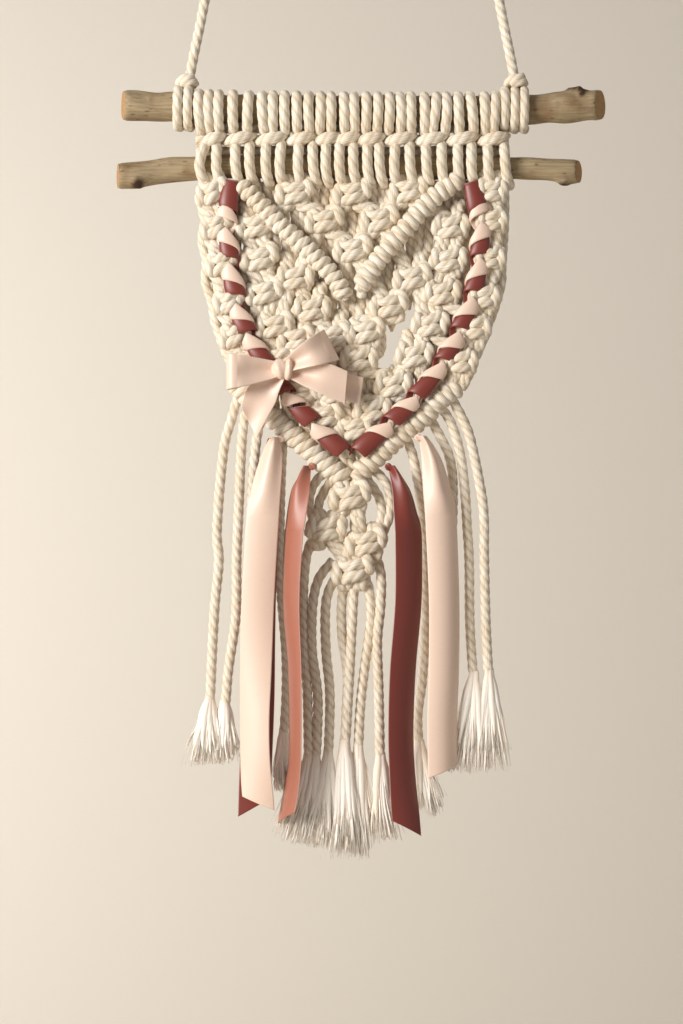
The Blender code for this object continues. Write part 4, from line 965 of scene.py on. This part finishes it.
def brush_skin(end, brush, seed):
    """Combed-out plies: a few thick tufts as a soft core, locks that overlap round them as one mass, and
    fibres that keep beside the locks. Each keeps its place in the bundle: it starts inside the cord above its
    end and moves out in proportion to how far down it is, with a slow wave of its own and a thin tip. The
    tufts end higher up. It returns the tufts, the locks and the fibres as three skins."""
    noise = np.random.default_rng(seed)
    tufts, locks, fibres, steps = 12, 32, 150, 10
    above = 7.0  # the end of the cord
    down = np.linspace(0, 1, steps)[None, :]
    turn = noise.uniform(0, 2 * math.pi, (locks, 1))
    out = np.sqrt(noise.uniform(0.02, 1, (locks, 1)))
    reach = 1.0 - 0.26 * noise.uniform(0, 1, (locks, 1)) ** 1.8
    wave = noise.normal(0, 0.95, (locks, 1))
    pace = noise.uniform(2, 6, (locks, 1))
    skins = []
    for count, sides, thick, stray, share, thin in (
        (tufts, 10, 2.3, 0.0, 0.82, 0.85),
        (locks, 6, 0.95, 0.0, 1.0, 0.75),
        (fibres, 3, 0.22, 0.22, 1.0, 0.4),
    ):
        of = np.arange(count) % locks
        a = (out * np.cos(turn))[of] * share**2 + noise.normal(0, 1, (count, 1)) * stray
        b = (out * np.sin(turn))[of] * share**2 + noise.normal(0, 1, (count, 1)) * stray
        if count == tufts:  # evenly across the brush
            a = 0.78 * np.linspace(-1, 1, count)[:, None]
        shortest = 0.93 if stray else 0.88
        long = (end[2] - brush.bottom + above) * reach[of] * noise.uniform(shortest, 1.0, (count, 1)) * share
        flare = 1.2 + (brush.spread - 1.2) * np.clip(down * share * 1.12 - 0.12, 0, 1) ** 0.85
        sway = (wave[of] + noise.normal(0, stray * 3, (count, 1))) * np.sin(down * pace[of] + turn[of])
        x = end[0] + a * flare + brush.lean * (down * share) ** 1.3 + sway * down
        y = end[1] + b * (1.2 + 2.0 * down) + 0.5 * sway * down - 2.6 * down**1.5
        z = end[2] + above - long * down
        slim = min(0.62, 1.3 / thick)  # at its top each is hidden in the cord
        taper = np.clip(slim + 1.6 * down, 0, 1) * (1 - thin * down**2.2)
        girth = (thick * noise.uniform(0.75, 1.2, (count, 1)) * taper)[..., None, None]
        corner = 2 * math.pi * np.arange(sides) / sides
        ring = np.stack([np.cos(corner), np.sin(corner), np.zeros(sides)], axis=-1)
        points = np.stack([x, y, z], axis=-1)[:, :, None, :] + girth * ring
        base = np.arange(count)[:, None, None] * steps * sides
        step, side = np.meshgrid(np.arange(steps - 1), np.arange(sides), indexing="ij")
        quads = (base + tube_faces(steps, sides)).reshape(-1, 4)
        ends = base[:, 0, :] + np.arange(sides)
        tips = base[:, 0, :] + (steps - 1) * sides + np.arange(sides)[::-1]
        # Painted shade: a strand further back, towards the wall, is darker; a random tone is added to it.
        shade = np.clip(0.75 - 0.3 * b + noise.normal(0, 0.16, (count, 1)), 0, 1)
        shade = 0.45 + (shade - 0.45) * np.clip(down * 3, 0, 1)  # at its top a strand is as dark as the cord
        # Each strand has its own stretch of the pattern, in millimetres round it and down it.
        start = 9.0 * np.arange(count)[:, None, None, None]
        u = start + np.stack([side, side, side + 1, side + 1], axis=-1) * (2 * math.pi * thick / sides)
        v = np.stack([step, step + 1, step + 1, step], axis=-1) * (long / (steps - 1))[..., None, None]
        uv = np.vstack([np.stack([u, v], axis=-1).reshape(-1, 2), np.zeros((ends.size + tips.size, 2))])
        skins.append(Skin(points.reshape(-1, 3), [quads, ends, tips], uv, np.repeat(shade.ravel(), sides)))
    return skins


for group, cords, brushes, node in (
    ("left", LEFT_CORDS, LEFT_BRUSHES, "edge_fringe_left"),
    ("right", RIGHT_CORDS, RIGHT_BRUSHES, "edge_fringe_right"),
    ("point", POINT_CORDS, POINT_BRUSHES, "point_fringe"),
):
    for i, (route, brush) in enumerate(zip(cords, brushes, strict=True), 1):
        fibres = brush_skin(route[-1], brush, 10 * i + len(node))
        tuft = piece(f"brush_{group}_{i}", fibres, combed, node)
        free_cord(f"fringe_{group}_{i}", route, "bare", node)

# ---------------------------------------------------------------- Hanging ribbons
# Five 15 mm satin ribbons come out under the V edge, pinched and knotted there, and widen as they fall. Each
# is cut at a slant. Polyester satin: smooth, with a soft broad gloss and a fine looped selvedge.

RIBBON = 15.5
# The coral is painted light: a lighter, warmer copy of the rose satin, for the same ribbon where it is lit.
SATINS = {"peach": "E9CCB8", "rose": "7C2C1F", "coral": "A86650"}
satins = {}
for finish, colour in SATINS.items():
    satin = bare_material(f"polyester satin ribbon, {finish}")
    weave_uv = add(satin, "UVMap", uv_map="lay")
    selvedge = add(satin, "Attribute", attribute_name="crown")
    # Weft threads lie 0.1 mm apart, too fine to show, so they are drawn 0.5 mm apart and faint.
    threads = add(
        satin, "Mapping", {"Vector": weave_uv, "Scale": (0.25, 1 / 0.5, 1.0)}
    )
    weft = add(
        satin,
        "TexNoise",
        {"Vector": threads, "Scale": 1.0, "Detail": 2.0},
        noise_dimensions="2D",
    )
    tone = add(
        satin,
        "MapRange",
        {"Value": weft, "From Min": 0.3, "From Max": 0.7, "To Min": 0.975, "To Max": 1.0},
    )
    face = add(
        satin,
        "Mix",
        {0: 1.0, 6: linear(colour), 7: tone},
        data_type="RGBA",
        blend_type="MULTIPLY",
    )
    edge_tone = add(
        satin,
        "MapRange",
        {"Value": selvedge, "From Min": 0.4, "From Max": 1.0, "To Min": 0.0, "To Max": 0.3},
    )
    edged = add(
        satin,
        "Mix",
        {0: edge_tone, 6: face, 7: linear("FFF0E6")},
        data_type="RGBA",
    )
    weft_bump = add(
        satin, "Bump", {"Height": weft, "Strength": 0.12, "Distance": 0.1 * MM}
    )
    satin_shader = add(
        satin,
        "BsdfPrincipled",
        {
            "Base Color": edged,
            "Roughness": 0.46,
            "IOR": 1.55,
            "Specular IOR Level": 0.65,
            "Sheen Weight": 0.12,
            "Sheen Roughness": 0.4,
            "Sheen Tint": linear("FFEFE6"),
            "Normal": weft_bump,
        },
    )
    add(satin, "OutputMaterial", {"Surface": satin_shader})
    satins[finish] = satin

# Across a ribbon from edge to edge, close together at the selvedges.
COLUMNS = np.array([-1.0, -0.93, -0.78, -0.6, -0.4, -0.2, 0.0, 0.2, 0.4, 0.6, 0.78, 0.93, 1.0])


def ribbon_skin(grid, across, along, thick=0.3):
    """A closed thin sheet over a grid of points: the grid moved out and in along its normals by half the
    thickness, and a rim round the four edges. Its UV is in millimetres, and its crown is 1 on the selvedges."""
    normal = unit(np.cross(np.gradient(grid, axis=0), np.gradient(grid, axis=1)))
    rows, columns = grid.shape[:2]
    index = np.arange(rows * columns).reshape(rows, columns)
    top = np.stack([index[:-1, :-1], index[1:, :-1], index[1:, 1:], index[:-1, 1:]], axis=-1).reshape(-1, 4)
    rim = np.concatenate([index[0], index[1:, -1], index[-1, -2::-1], index[-2:0:-1, 0]])
    ahead = np.roll(rim, -1)
    edge = np.stack([rim, ahead, ahead + index.size, rim + index.size], axis=-1)
    faces = np.concatenate([top, top[:, ::-1] + index.size, edge])
    spread = np.stack(np.meshgrid(along, across, indexing="ij")[::-1], axis=-1).reshape(-1, 2)
    points = np.concatenate([grid + normal * thick / 2, grid - normal * thick / 2]).reshape(-1, 3)
    selvedge = np.zeros((2 * rows, columns))
    selvedge[:, [0, -1]] = 1.0
    return Skin(points, [faces], spread[(faces % index.size).ravel()], selvedge.ravel())


LOOPS_REACH = 0.13  # of the selvedge's small loops, longer or shorter from row to row


def ribbon_reach(width):
    """How far across each point of a ribbon lies: the columns spread over its width, with looped selvedges."""
    reach = COLUMNS[None, :] * width[:, None] / 2
    loops = LOOPS_REACH * (-1.0) ** np.arange(len(width))
    reach[:, 0] -= loops
    reach[:, -1] += loops
    return reach


def pleats(width):
    """How far a gathered ribbon stands out of its own plane: a cosine across it, as high as the width that is
    taken up by the gathers needs."""
    taken_up = np.sqrt(np.maximum(RIBBON**2 - width**2, 0))
    return 0.15 * taken_up[:, None] * np.cos(math.pi * (COLUMNS[None, :] + 1))


def lump_skin(middle, radii, folds, deep, turn):
    """A small tight knot: an ellipsoid with folds running from pole to pole, closed at its poles and turned
    about the line of sight."""
    rows, around = 15, 36
    tilt = np.linspace(0, math.pi, rows)[1:-1, None]
    angle = 2 * math.pi * np.arange(around)[None, :] / around
    reach = 1 - deep * (0.5 + 0.5 * np.cos(folds * angle + 0.6 * np.sin(2 * tilt))) * np.sin(tilt)
    wide, thick, high = radii
    x, y, z = (
        wide * reach * np.sin(tilt) * np.cos(angle),
        thick * reach * np.sin(tilt) * np.sin(angle),
        high * np.cos(tilt) * np.ones_like(angle),
    )
    c, s = math.cos(turn), math.sin(turn)
    ring_points = np.stack([x * c - z * s, y, x * s + z * c], axis=-1).reshape(-1, 3)
    poles = np.array([(-high * s, 0, high * c), (high * s, 0, -high * c)])
    points = np.vstack([ring_points, poles]) + middle
    quads = tube_faces(rows - 2, around)
    first = np.arange(around)
    second = (first + 1) % around
    last = (rows - 3) * around
    top = np.stack([np.full(around, len(ring_points)), first, second], axis=-1)
    foot = np.stack([np.full(around, len(ring_points) + 1), last + second, last + first], axis=-1)
    uv = np.zeros((quads.size + top.size + foot.size, 2))
    return Skin(points, [quads, top, foot], uv, np.zeros(len(points)))


# The top's place, the finish, how much higher the right corner of the cut is than the left one, how far its
# middle stands out, the small knot beside the pinch (its place from the top), and the fall: drop, shift,
# depth, width and turn in degrees.
Ribbon = namedtuple("Ribbon", "top finish corner crown knot folds")
RIBBONS = {
    "peach_left": Ribbon((-37.0, -5.6, -250.0), "peach", -6.4, 1.3, (2.8, 1.0, -0.8), [
        (0, 0, 0, 4, 0), (4.8, -0.7, -0.6, 8, 0), (13, -2.2, -1.6, 11.5, 5), (25, -4.1, -2.4, 14.2, 4),
        (37.4, -5.5, -3, 15.5, 0), (79.2, -7.9, -3.2, 15.5, 0), (112.8, -8.9, -3.2, 15.5, 14),
        (135, -9.4, -3.4, 15.5, 24), (156, -9, -3.6, 15.5, 22), (174.6, -7.6, -3.2, 15.5, 8)]),
    "rose_behind": Ribbon((-38.2, -3.0, -250.4), "rose", 8.8, 0.4, None, [
        (0, 0, 0, 4, 0), (13, -1.4, -0.4, 10, 0), (25, -3, -0.7, 13, 0), (79.2, -6, -1.2, 15.5, 0),
        (123, -6.6, -1.2, 15.5, 0), (150, -7.6, -1, 15.5, 0), (176.8, -8.6, -0.8, 15.5, 0)]),
    "coral_left": Ribbon((-22.1, -5.0, -263.6), "coral", 6.9, 1.5, (3.0, 0.4, -0.4), [
        (0, 0, 0, 3.4, 20), (5.3, -1.8, -1.8, 7, 36), (12.6, -3.6, -3.6, 12, 42), (31, -5.5, -4.6, 15.5, 54),
        (64, -7, -4.8, 15.5, 58), (98, -5.2, -4.8, 15.5, 65), (135, -5, -4.8, 15.5, 67),
        (150, -6.2, -4.6, 15.5, 64), (168, -9.2, -4.4, 15.5, 58)]),
    "rose_right": Ribbon((19.2, -5.0, -263.6), "rose", -8.0, 1.5, (-1.8, 0.4, -0.6), [
        (0, 0, 0, 3.4, -10), (5.5, 2.8, -1.2, 6.4, -24), (12.6, 5.4, -2.4, 10.4, -32),
        (22.6, 6.8, -3.2, 13.6, -34), (32, 7.6, -3.4, 15.5, -34), (64, 7.6, -3.4, 15.5, -34),
        (98, 4.9, -3.4, 15.5, -36), (128, 4, -3.4, 15.5, -38), (150, 4.9, -3.2, 15.5, -36),
        (173, 6.8, -3, 15.5, -26)]),
    "peach_right": Ribbon((33.6, -5.0, -249.4), "peach", 6.2, 2.8, (-2.0, 0.8, -0.8), [
        (0, 0, 0, 4, 0), (4.8, 2.4, -0.6, 6.6, -4), (13, 5, -1.6, 10.2, -8), (25, 7, -2, 13.4, -12),
        (37.4, 8.6, -2.2, 15.5, -16), (79.2, 10.3, -2.4, 15.5, -20), (112.8, 10.1, -2.4, 15.5, -20),
        (135, 9.4, -2.2, 15.5, -22), (160, 9.6, -1.8, 15.5, -24)]),
}  # fmt: skip
for name, ribbon in RIBBONS.items():
    fall = smooth_line(ribbon.folds, 0.48)
    drop, shift, deep, width, turn = fall.T
    length = float(lengths(fall)[-1])
    reach = ribbon_reach(width)
    turn = np.radians(turn)[:, None]
    crowned = ribbon.crown * np.clip(width[:, None] / RIBBON, 0, 1) ** 2
    out_of_plane = pleats(width) - crowned * (1 - COLUMNS**2)
    near_end = np.clip((drop - drop[-1] + 14) / 14, 0, 1)[:, None]
    x = ribbon.top[0] + shift[:, None] + reach * np.cos(turn) + out_of_plane * np.sin(turn)
    y = ribbon.top[1] + deep[:, None] - reach * np.sin(turn) + out_of_plane * np.cos(turn)
    z = ribbon.top[2] - drop[:, None] + ribbon.corner * COLUMNS / 2 * near_end**2
    skins = [ribbon_skin(np.stack([x, y, z], axis=-1), RIBBON * (COLUMNS + 1) / 2, drop)]
    if ribbon.knot:
        place = np.add(ribbon.top, ribbon.knot)
        skins.append(lump_skin(place, (2.2, 1.2, 1.8), 4, 0.5, 0.6))
    strip = piece(f"satin_{name}", skins, satins[ribbon.finish], f"ribbon_{name}")

# ---------------------------------------------------------------- Lacing
# A rose and a peach ribbon are wound round each other down each side of the net, through the knots beside
# the border. Each shows as a fold at the outer side that sweeps across to a pinch at the inner side.

LACED = 10.0
LACES = {
    "left": [(-57.6, -132), (-59.4, -143), (-59, -157.6), (-56.6, -175.4), (-52.4, -194), (-44.6, -209.4),
             (-31.4, -229), (-14.6, -247.4), (-6.4, -255.0), (-0.8, -261.4)],
    "right": [(57, -132), (60.4, -143), (61, -157.6), (58.8, -176.4), (53, -194.4), (42.6, -215),
              (28.6, -232.6), (13.6, -247.4), (5.0, -255.4), (0.8, -261.0)],
}  # fmt: skip
LACE_DEPTH = -6.4
# How far down the axis each fold shows.
FOLDS = {
    ("rose", "left"): [5.4, 29.1, 47.3, 65.6, 83.0, 100.0, 118.6, 138.5],
    ("peach", "left"): [12.3, 23.8, 41.8, 60.7, 75.7, 92.0, 108.0, 129.4],
    ("rose", "right"): [5.1, 28.0, 45.7, 64.7, 81.4, 102.6, 119.9, 140.4],
    ("peach", "right"): [10.6, 22.3, 39.6, 58.6, 76.0, 92.4, 112.1, 129.7],
}  # fmt: skip
# A fold's drop from its mark at the outer side, in front and at the inner side, how far out it lies, and how
# much larger the first and last folds are. A peach fold is a petal: low at both sides, with a peak in front.
# A rose one is widest at the outer side and narrows all the way to its pinch.
Fold = namedtuple("Fold", "drops radius ends")
FOLD_SHAPES = {"rose": Fold((-1.4, 1.0, 4.8), 5.3, 1.3), "peach": Fold((-1.2, 1.4, 6.0), 5.8, 1.0)}
PEAK = 7.8  # of a peach fold, above its path
UNDER = 1.2  # its reach below the path
BEHIND_REACH = 3.5  # to both sides of the path, behind the net
TUCKED = 4.4  # how far at most the lower edge, folded in, reaches up behind the ribbon
LACED_COLUMNS = np.linspace(-1, 1, 17)


def laced_ribbon(axis, marks, others, shape, seed):
    """A ribbon wound round an axis: its middle is on an oval round the axis that it goes round once for each
    fold, and moves down the axis slowly in front and faster behind. From there it reaches up and down along
    the axis: in a peach fold by a triangle over how far across it is, and in a rose one as far as the peach
    fold above it. The first rose fold has a level top. The ribbon is folded lengthwise: its lower part turns
    in half a sine below the path and up behind it."""
    noise = np.random.default_rng(seed)
    line = smooth_line([(x, LACE_DEPTH, z) for x, z in axis], 0.5)
    along = lengths(line)
    run = unit(np.gradient(line, axis=0))
    outer = unit(np.cross(run, (0.0, 1.0, 0.0))) * (-1.0 if axis[0][0] > 0 else 1.0)
    outer = outer * np.sign(outer[0, 0] * axis[0][0])
    marks = np.array(marks)
    room = np.diff(marks, append=marks[-1] + 18)
    turns = np.arange(len(marks))[:, None] * 360.0 + (0.0, 90.0, 180.0)
    places = marks[:, None] + np.array(shape.drops) * np.clip(room / 16.0, 0.7, 1.1)[:, None]
    angle = np.arange(-60, 360 * len(marks) - 150, 8.0)
    down = np.interp(angle, turns.ravel(), places.ravel(), left=marks[0] - 4)
    window = np.ones(7) / 7
    down = np.convolve(np.pad(down, 3, mode="edge"), window, mode="valid")
    down = np.clip(down, 0.5, along[-1] - 0.5)
    which = np.clip(np.round(angle / 360 - 0.2), 0, len(marks) - 1).astype(int)
    part = (angle - 360 * which + 180) % 360 - 180
    uneven = noise.uniform(0.86, 1.12, (len(marks), 3))
    uneven[[0, -1], :2] *= shape.ends
    uneven = uneven[which]
    across, forward = np.cos(np.radians(part)), np.sin(np.radians(part))
    behind_it = np.clip(-1.4 * forward, 0, 1)
    if shape.ends > 1:
        gap = np.array([mark - max((o for o in others if o < mark), default=mark - 6.0) for mark in marks])
        upper = (4.8 + 0.6 * across) * np.clip(gap / 5.6, 1, 1.8)[which]
        upper = upper + np.where(which == 0, np.clip(down - marks[0] + 1.4, 0, 6), 0.0)
        upper = upper * (1 - behind_it) + BEHIND_REACH * behind_it
        lower = 4.1 * (0.64 + 0.36 * across) * (1 - behind_it) + BEHIND_REACH * behind_it
    else:
        petal = np.clip(1 - np.abs(across - 0.05) / 1.02, 0, 1) ** 0.8 * (forward > 0)
        upper = (0.9 + (PEAK - 0.9) * petal) * (1 - behind_it) + BEHIND_REACH * behind_it
        lower = UNDER * (1 - behind_it) + BEHIND_REACH * behind_it
    upper, lower = upper * uneven[:, 0], lower * uneven[:, 1]
    at, out, up = (read_at(down, along, table) for table in (line, outer, -run))
    turn = np.radians(angle)[:, None]
    front = np.array([0.0, -1.0, 0.0])
    radius = (3.0 + (shape.radius - 3.0) * np.clip(0.62 + 0.62 * forward, 0, 1) * uneven[:, 2])[:, None]
    middle = at + out * radius * np.cos(turn) + front * radius * 0.7 * np.sin(turn)
    normal = unit(out * np.cos(turn) + front * np.sin(turn))
    above, below = np.clip(LACED_COLUMNS, 0, 1), np.clip(-LACED_COLUMNS, 0, 1)
    tucked = np.minimum(0.9 * upper, TUCKED)[:, None] * below**3
    reach = upper[:, None] * above - lower[:, None] * np.sin(math.pi * below) + tucked
    stand = -0.12 * upper[:, None] * above**2 - 0.65 * (1 - np.cos(math.pi * below))
    grid = middle[:, None] + up[:, None] * reach[..., None] + normal[:, None] * stand[..., None]
    length = lengths(middle)
    return ribbon_skin(grid, LACED * (LACED_COLUMNS + 1) / 2, length, 0.26), float(length[-1])


for i, ((finish, side), marks) in enumerate(FOLDS.items()):
    others = FOLDS["peach" if finish == "rose" else "rose", side]
    skin, length = laced_ribbon(LACES[side], marks, others, FOLD_SHAPES[finish], 31 + i)
    node = f"lacing_{finish}_{side}"
    strip = piece(f"lace_{finish}_{side}", [skin], satins[finish], node)

# ---------------------------------------------------------------- Bow
# One length of the peach ribbon, tied in a bow over the lacing at the left: two flattened loops and three
# ends, gathered into a small knot.

BOW_AT = (-32.6, -15.6, -218.1)
# Each part's angle, how much higher its far lower corner is cut, and its points: out, depth, width, side.
BOW_PARTS = {
    "left_loop": (180.0, 0.0, [
        (0, -1.2, 6, 0), (7, -2.4, 9.4, 0.6), (14, -4.9, 12.6, 1), (20.4, -7.6, 15.2, 1.3), (24.4, -8, 16.4, 1.4),
        (26.4, -5.4, 17, 1.4), (26, -1.6, 17, 1.4), (22, 1.8, 15.6, 1.2), (14, 2.6, 12, 0.6), (0, 1.6, 6, 0)]),
    "right_loop": (27.0, 0.0, [
        (0, -1.2, 5.4, 0), (5, -3.2, 7.2, 0.4), (10, -5.6, 10.2, 0.4), (15, -6.6, 12.8, 0.2),
        (19.6, -4.8, 14.6, 0), (24.4, -0.8, 16, 0), (25.6, 1.4, 16, 0), (22, 3, 15, 0), (12, 3, 11, 0),
        (0, 1.6, 5, 0)]),
    "left_tail": (244.0, 9.6, [
        (1, 0, 5, 0), (6, 0.2, 8.6, -1.6), (11, 0.5, 12.4, -3.2), (16, 0.8, 15, -3.8), (24, 1.4, 14.2, -3.8),
        (30, 1.6, 13, -3.4)]),
    "right_tail": (-15.5, -3.0, [
        (1, 0, 5, 0), (6, -1, 8, 0), (12, -2.4, 11.6, 0.4), (20, -3.8, 14.6, 0.6), (31.2, -2.6, 15.2, -0.6)]),
    "under_tail": (-16.0, -1.8, [(1, 1.6, 4, 0), (10, 3, 8, 0.4), (24, 3.8, 11.6, 0.6), (38.6, 3.8, 13, 0.2)]),
}  # fmt: skip
bow, bow_length = [], 0.0
for name, (angle, cut, points) in BOW_PARTS.items():
    line = smooth_line([(out, deep, 0.0, width, side) for out, deep, width, side in points], 0.48)
    out, deep, _, width, side = line.T
    along = lengths(line)
    bow_length += float(along[-1])
    flat = unit(np.column_stack([np.gradient(out), np.gradient(deep)]))
    stand = pleats(width) * 0.7
    near_end = np.clip((along - along[-1] + 9) / 9, 0, 1)[:, None] if cut else 0.0
    away = out[:, None] + flat[:, 1, None] * stand + cut * COLUMNS / 2 * near_end
    y = BOW_AT[1] + deep[:, None] - flat[:, 0, None] * stand
    up = side[:, None] + ribbon_reach(width)
    c, s = math.cos(math.radians(angle)), math.sin(math.radians(angle))
    grid = np.stack([BOW_AT[0] + away * c - up * s, y, BOW_AT[2] + away * s + up * c], axis=-1)
    bow.append(ribbon_skin(grid, RIBBON * (COLUMNS + 1) / 2, along))
# The knot: a rounded tuck at its left, and the ribbon wrapped upright round the middle.
bow.append(lump_skin(np.add(BOW_AT, (-1.4, -1.2, 0.0)), (4.2, 4.4, 5.0), 5, 0.12, 0.2))
bow.append(lump_skin(np.add(BOW_AT, (2.4, -1.4, 0.2)), (2.6, 4.8, 5.7), 3, 0.22, -0.1))
tied_bow = piece("tied_bow", bow, satins["peach"], "bow")

# ---------------------------------------------------------------- Backdrop and light
# A pale wall far behind the hanging and a pale floor below it, lit like a room with a large window at the
# left: one large soft light, a weak fill from the right, a light on the wall and a little from all round.

wall = bare_material("matt pale plaster")
wall_shader = add(
    wall, "BsdfPrincipled", {"Base Color": linear("E0D8CC"), "Roughness": 0.95}
)
add(wall, "OutputMaterial", {"Surface": wall_shader})
STAGE = {
    "backdrop": [(-3.2, 2.2, -1.05), (3.2, 2.2, -1.05), (3.2, 2.2, 2.0), (-3.2, 2.2, 2.0)],
    "floor": [(-3.2, -3.0, -1.05), (3.2, -3.0, -1.05), (3.2, 2.2, -1.05), (-3.2, 2.2, -1.05)],
}
for name, corners in STAGE.items():
    mesh = bpy.data.meshes.new(name)
    mesh.from_pydata(corners, [], [(0, 1, 2, 3)])
    mesh.materials.append(wall)
    sheet = bpy.data.objects.new(name, mesh)
    bpy.context.scene.collection.objects.link(sheet)

Lamp = namedtuple("Lamp", "place aim size power colour")
LAMPS = {
    "window": Lamp((-1.1, -0.94, 0.06), (0.0, 0.0, -0.28), 0.55, 25.5, (1.0, 0.98, 0.95)),
    "fill": Lamp((1.2, -1.2, -0.2), (0.0, 0.0, -0.25), 1.4, 1.0, (1.0, 0.95, 0.9)),
    "wall light": Lamp((-1.65, 0.4, -0.2), (-1.15, 2.2, -0.3), 1.0, 35.0, (1.0, 0.99, 0.98)),
}
for name, lamp in LAMPS.items():
    light = bpy.data.lights.new(name, "AREA")
    light.shape = "SQUARE"
    light.size = lamp.size
    light.energy = lamp.power
    light.color = lamp.colour
    holder = bpy.data.objects.new(name, light)
    holder.location = lamp.place
    holder.rotation_euler = (Vector(lamp.aim) - holder.location).to_track_quat("-Z", "Y").to_euler()
    bpy.context.scene.collection.objects.link(holder)
world = bpy.data.worlds.new("room")
world.use_nodes = True
world.node_tree.nodes["Background"].inputs["Color"].default_value = (1.0, 0.965, 0.925, 1.0)
world.node_tree.nodes["Background"].inputs["Strength"].default_value = 0.32
bpy.context.scene.world = world
bpy.context.scene.view_settings.view_transform = "Standard"
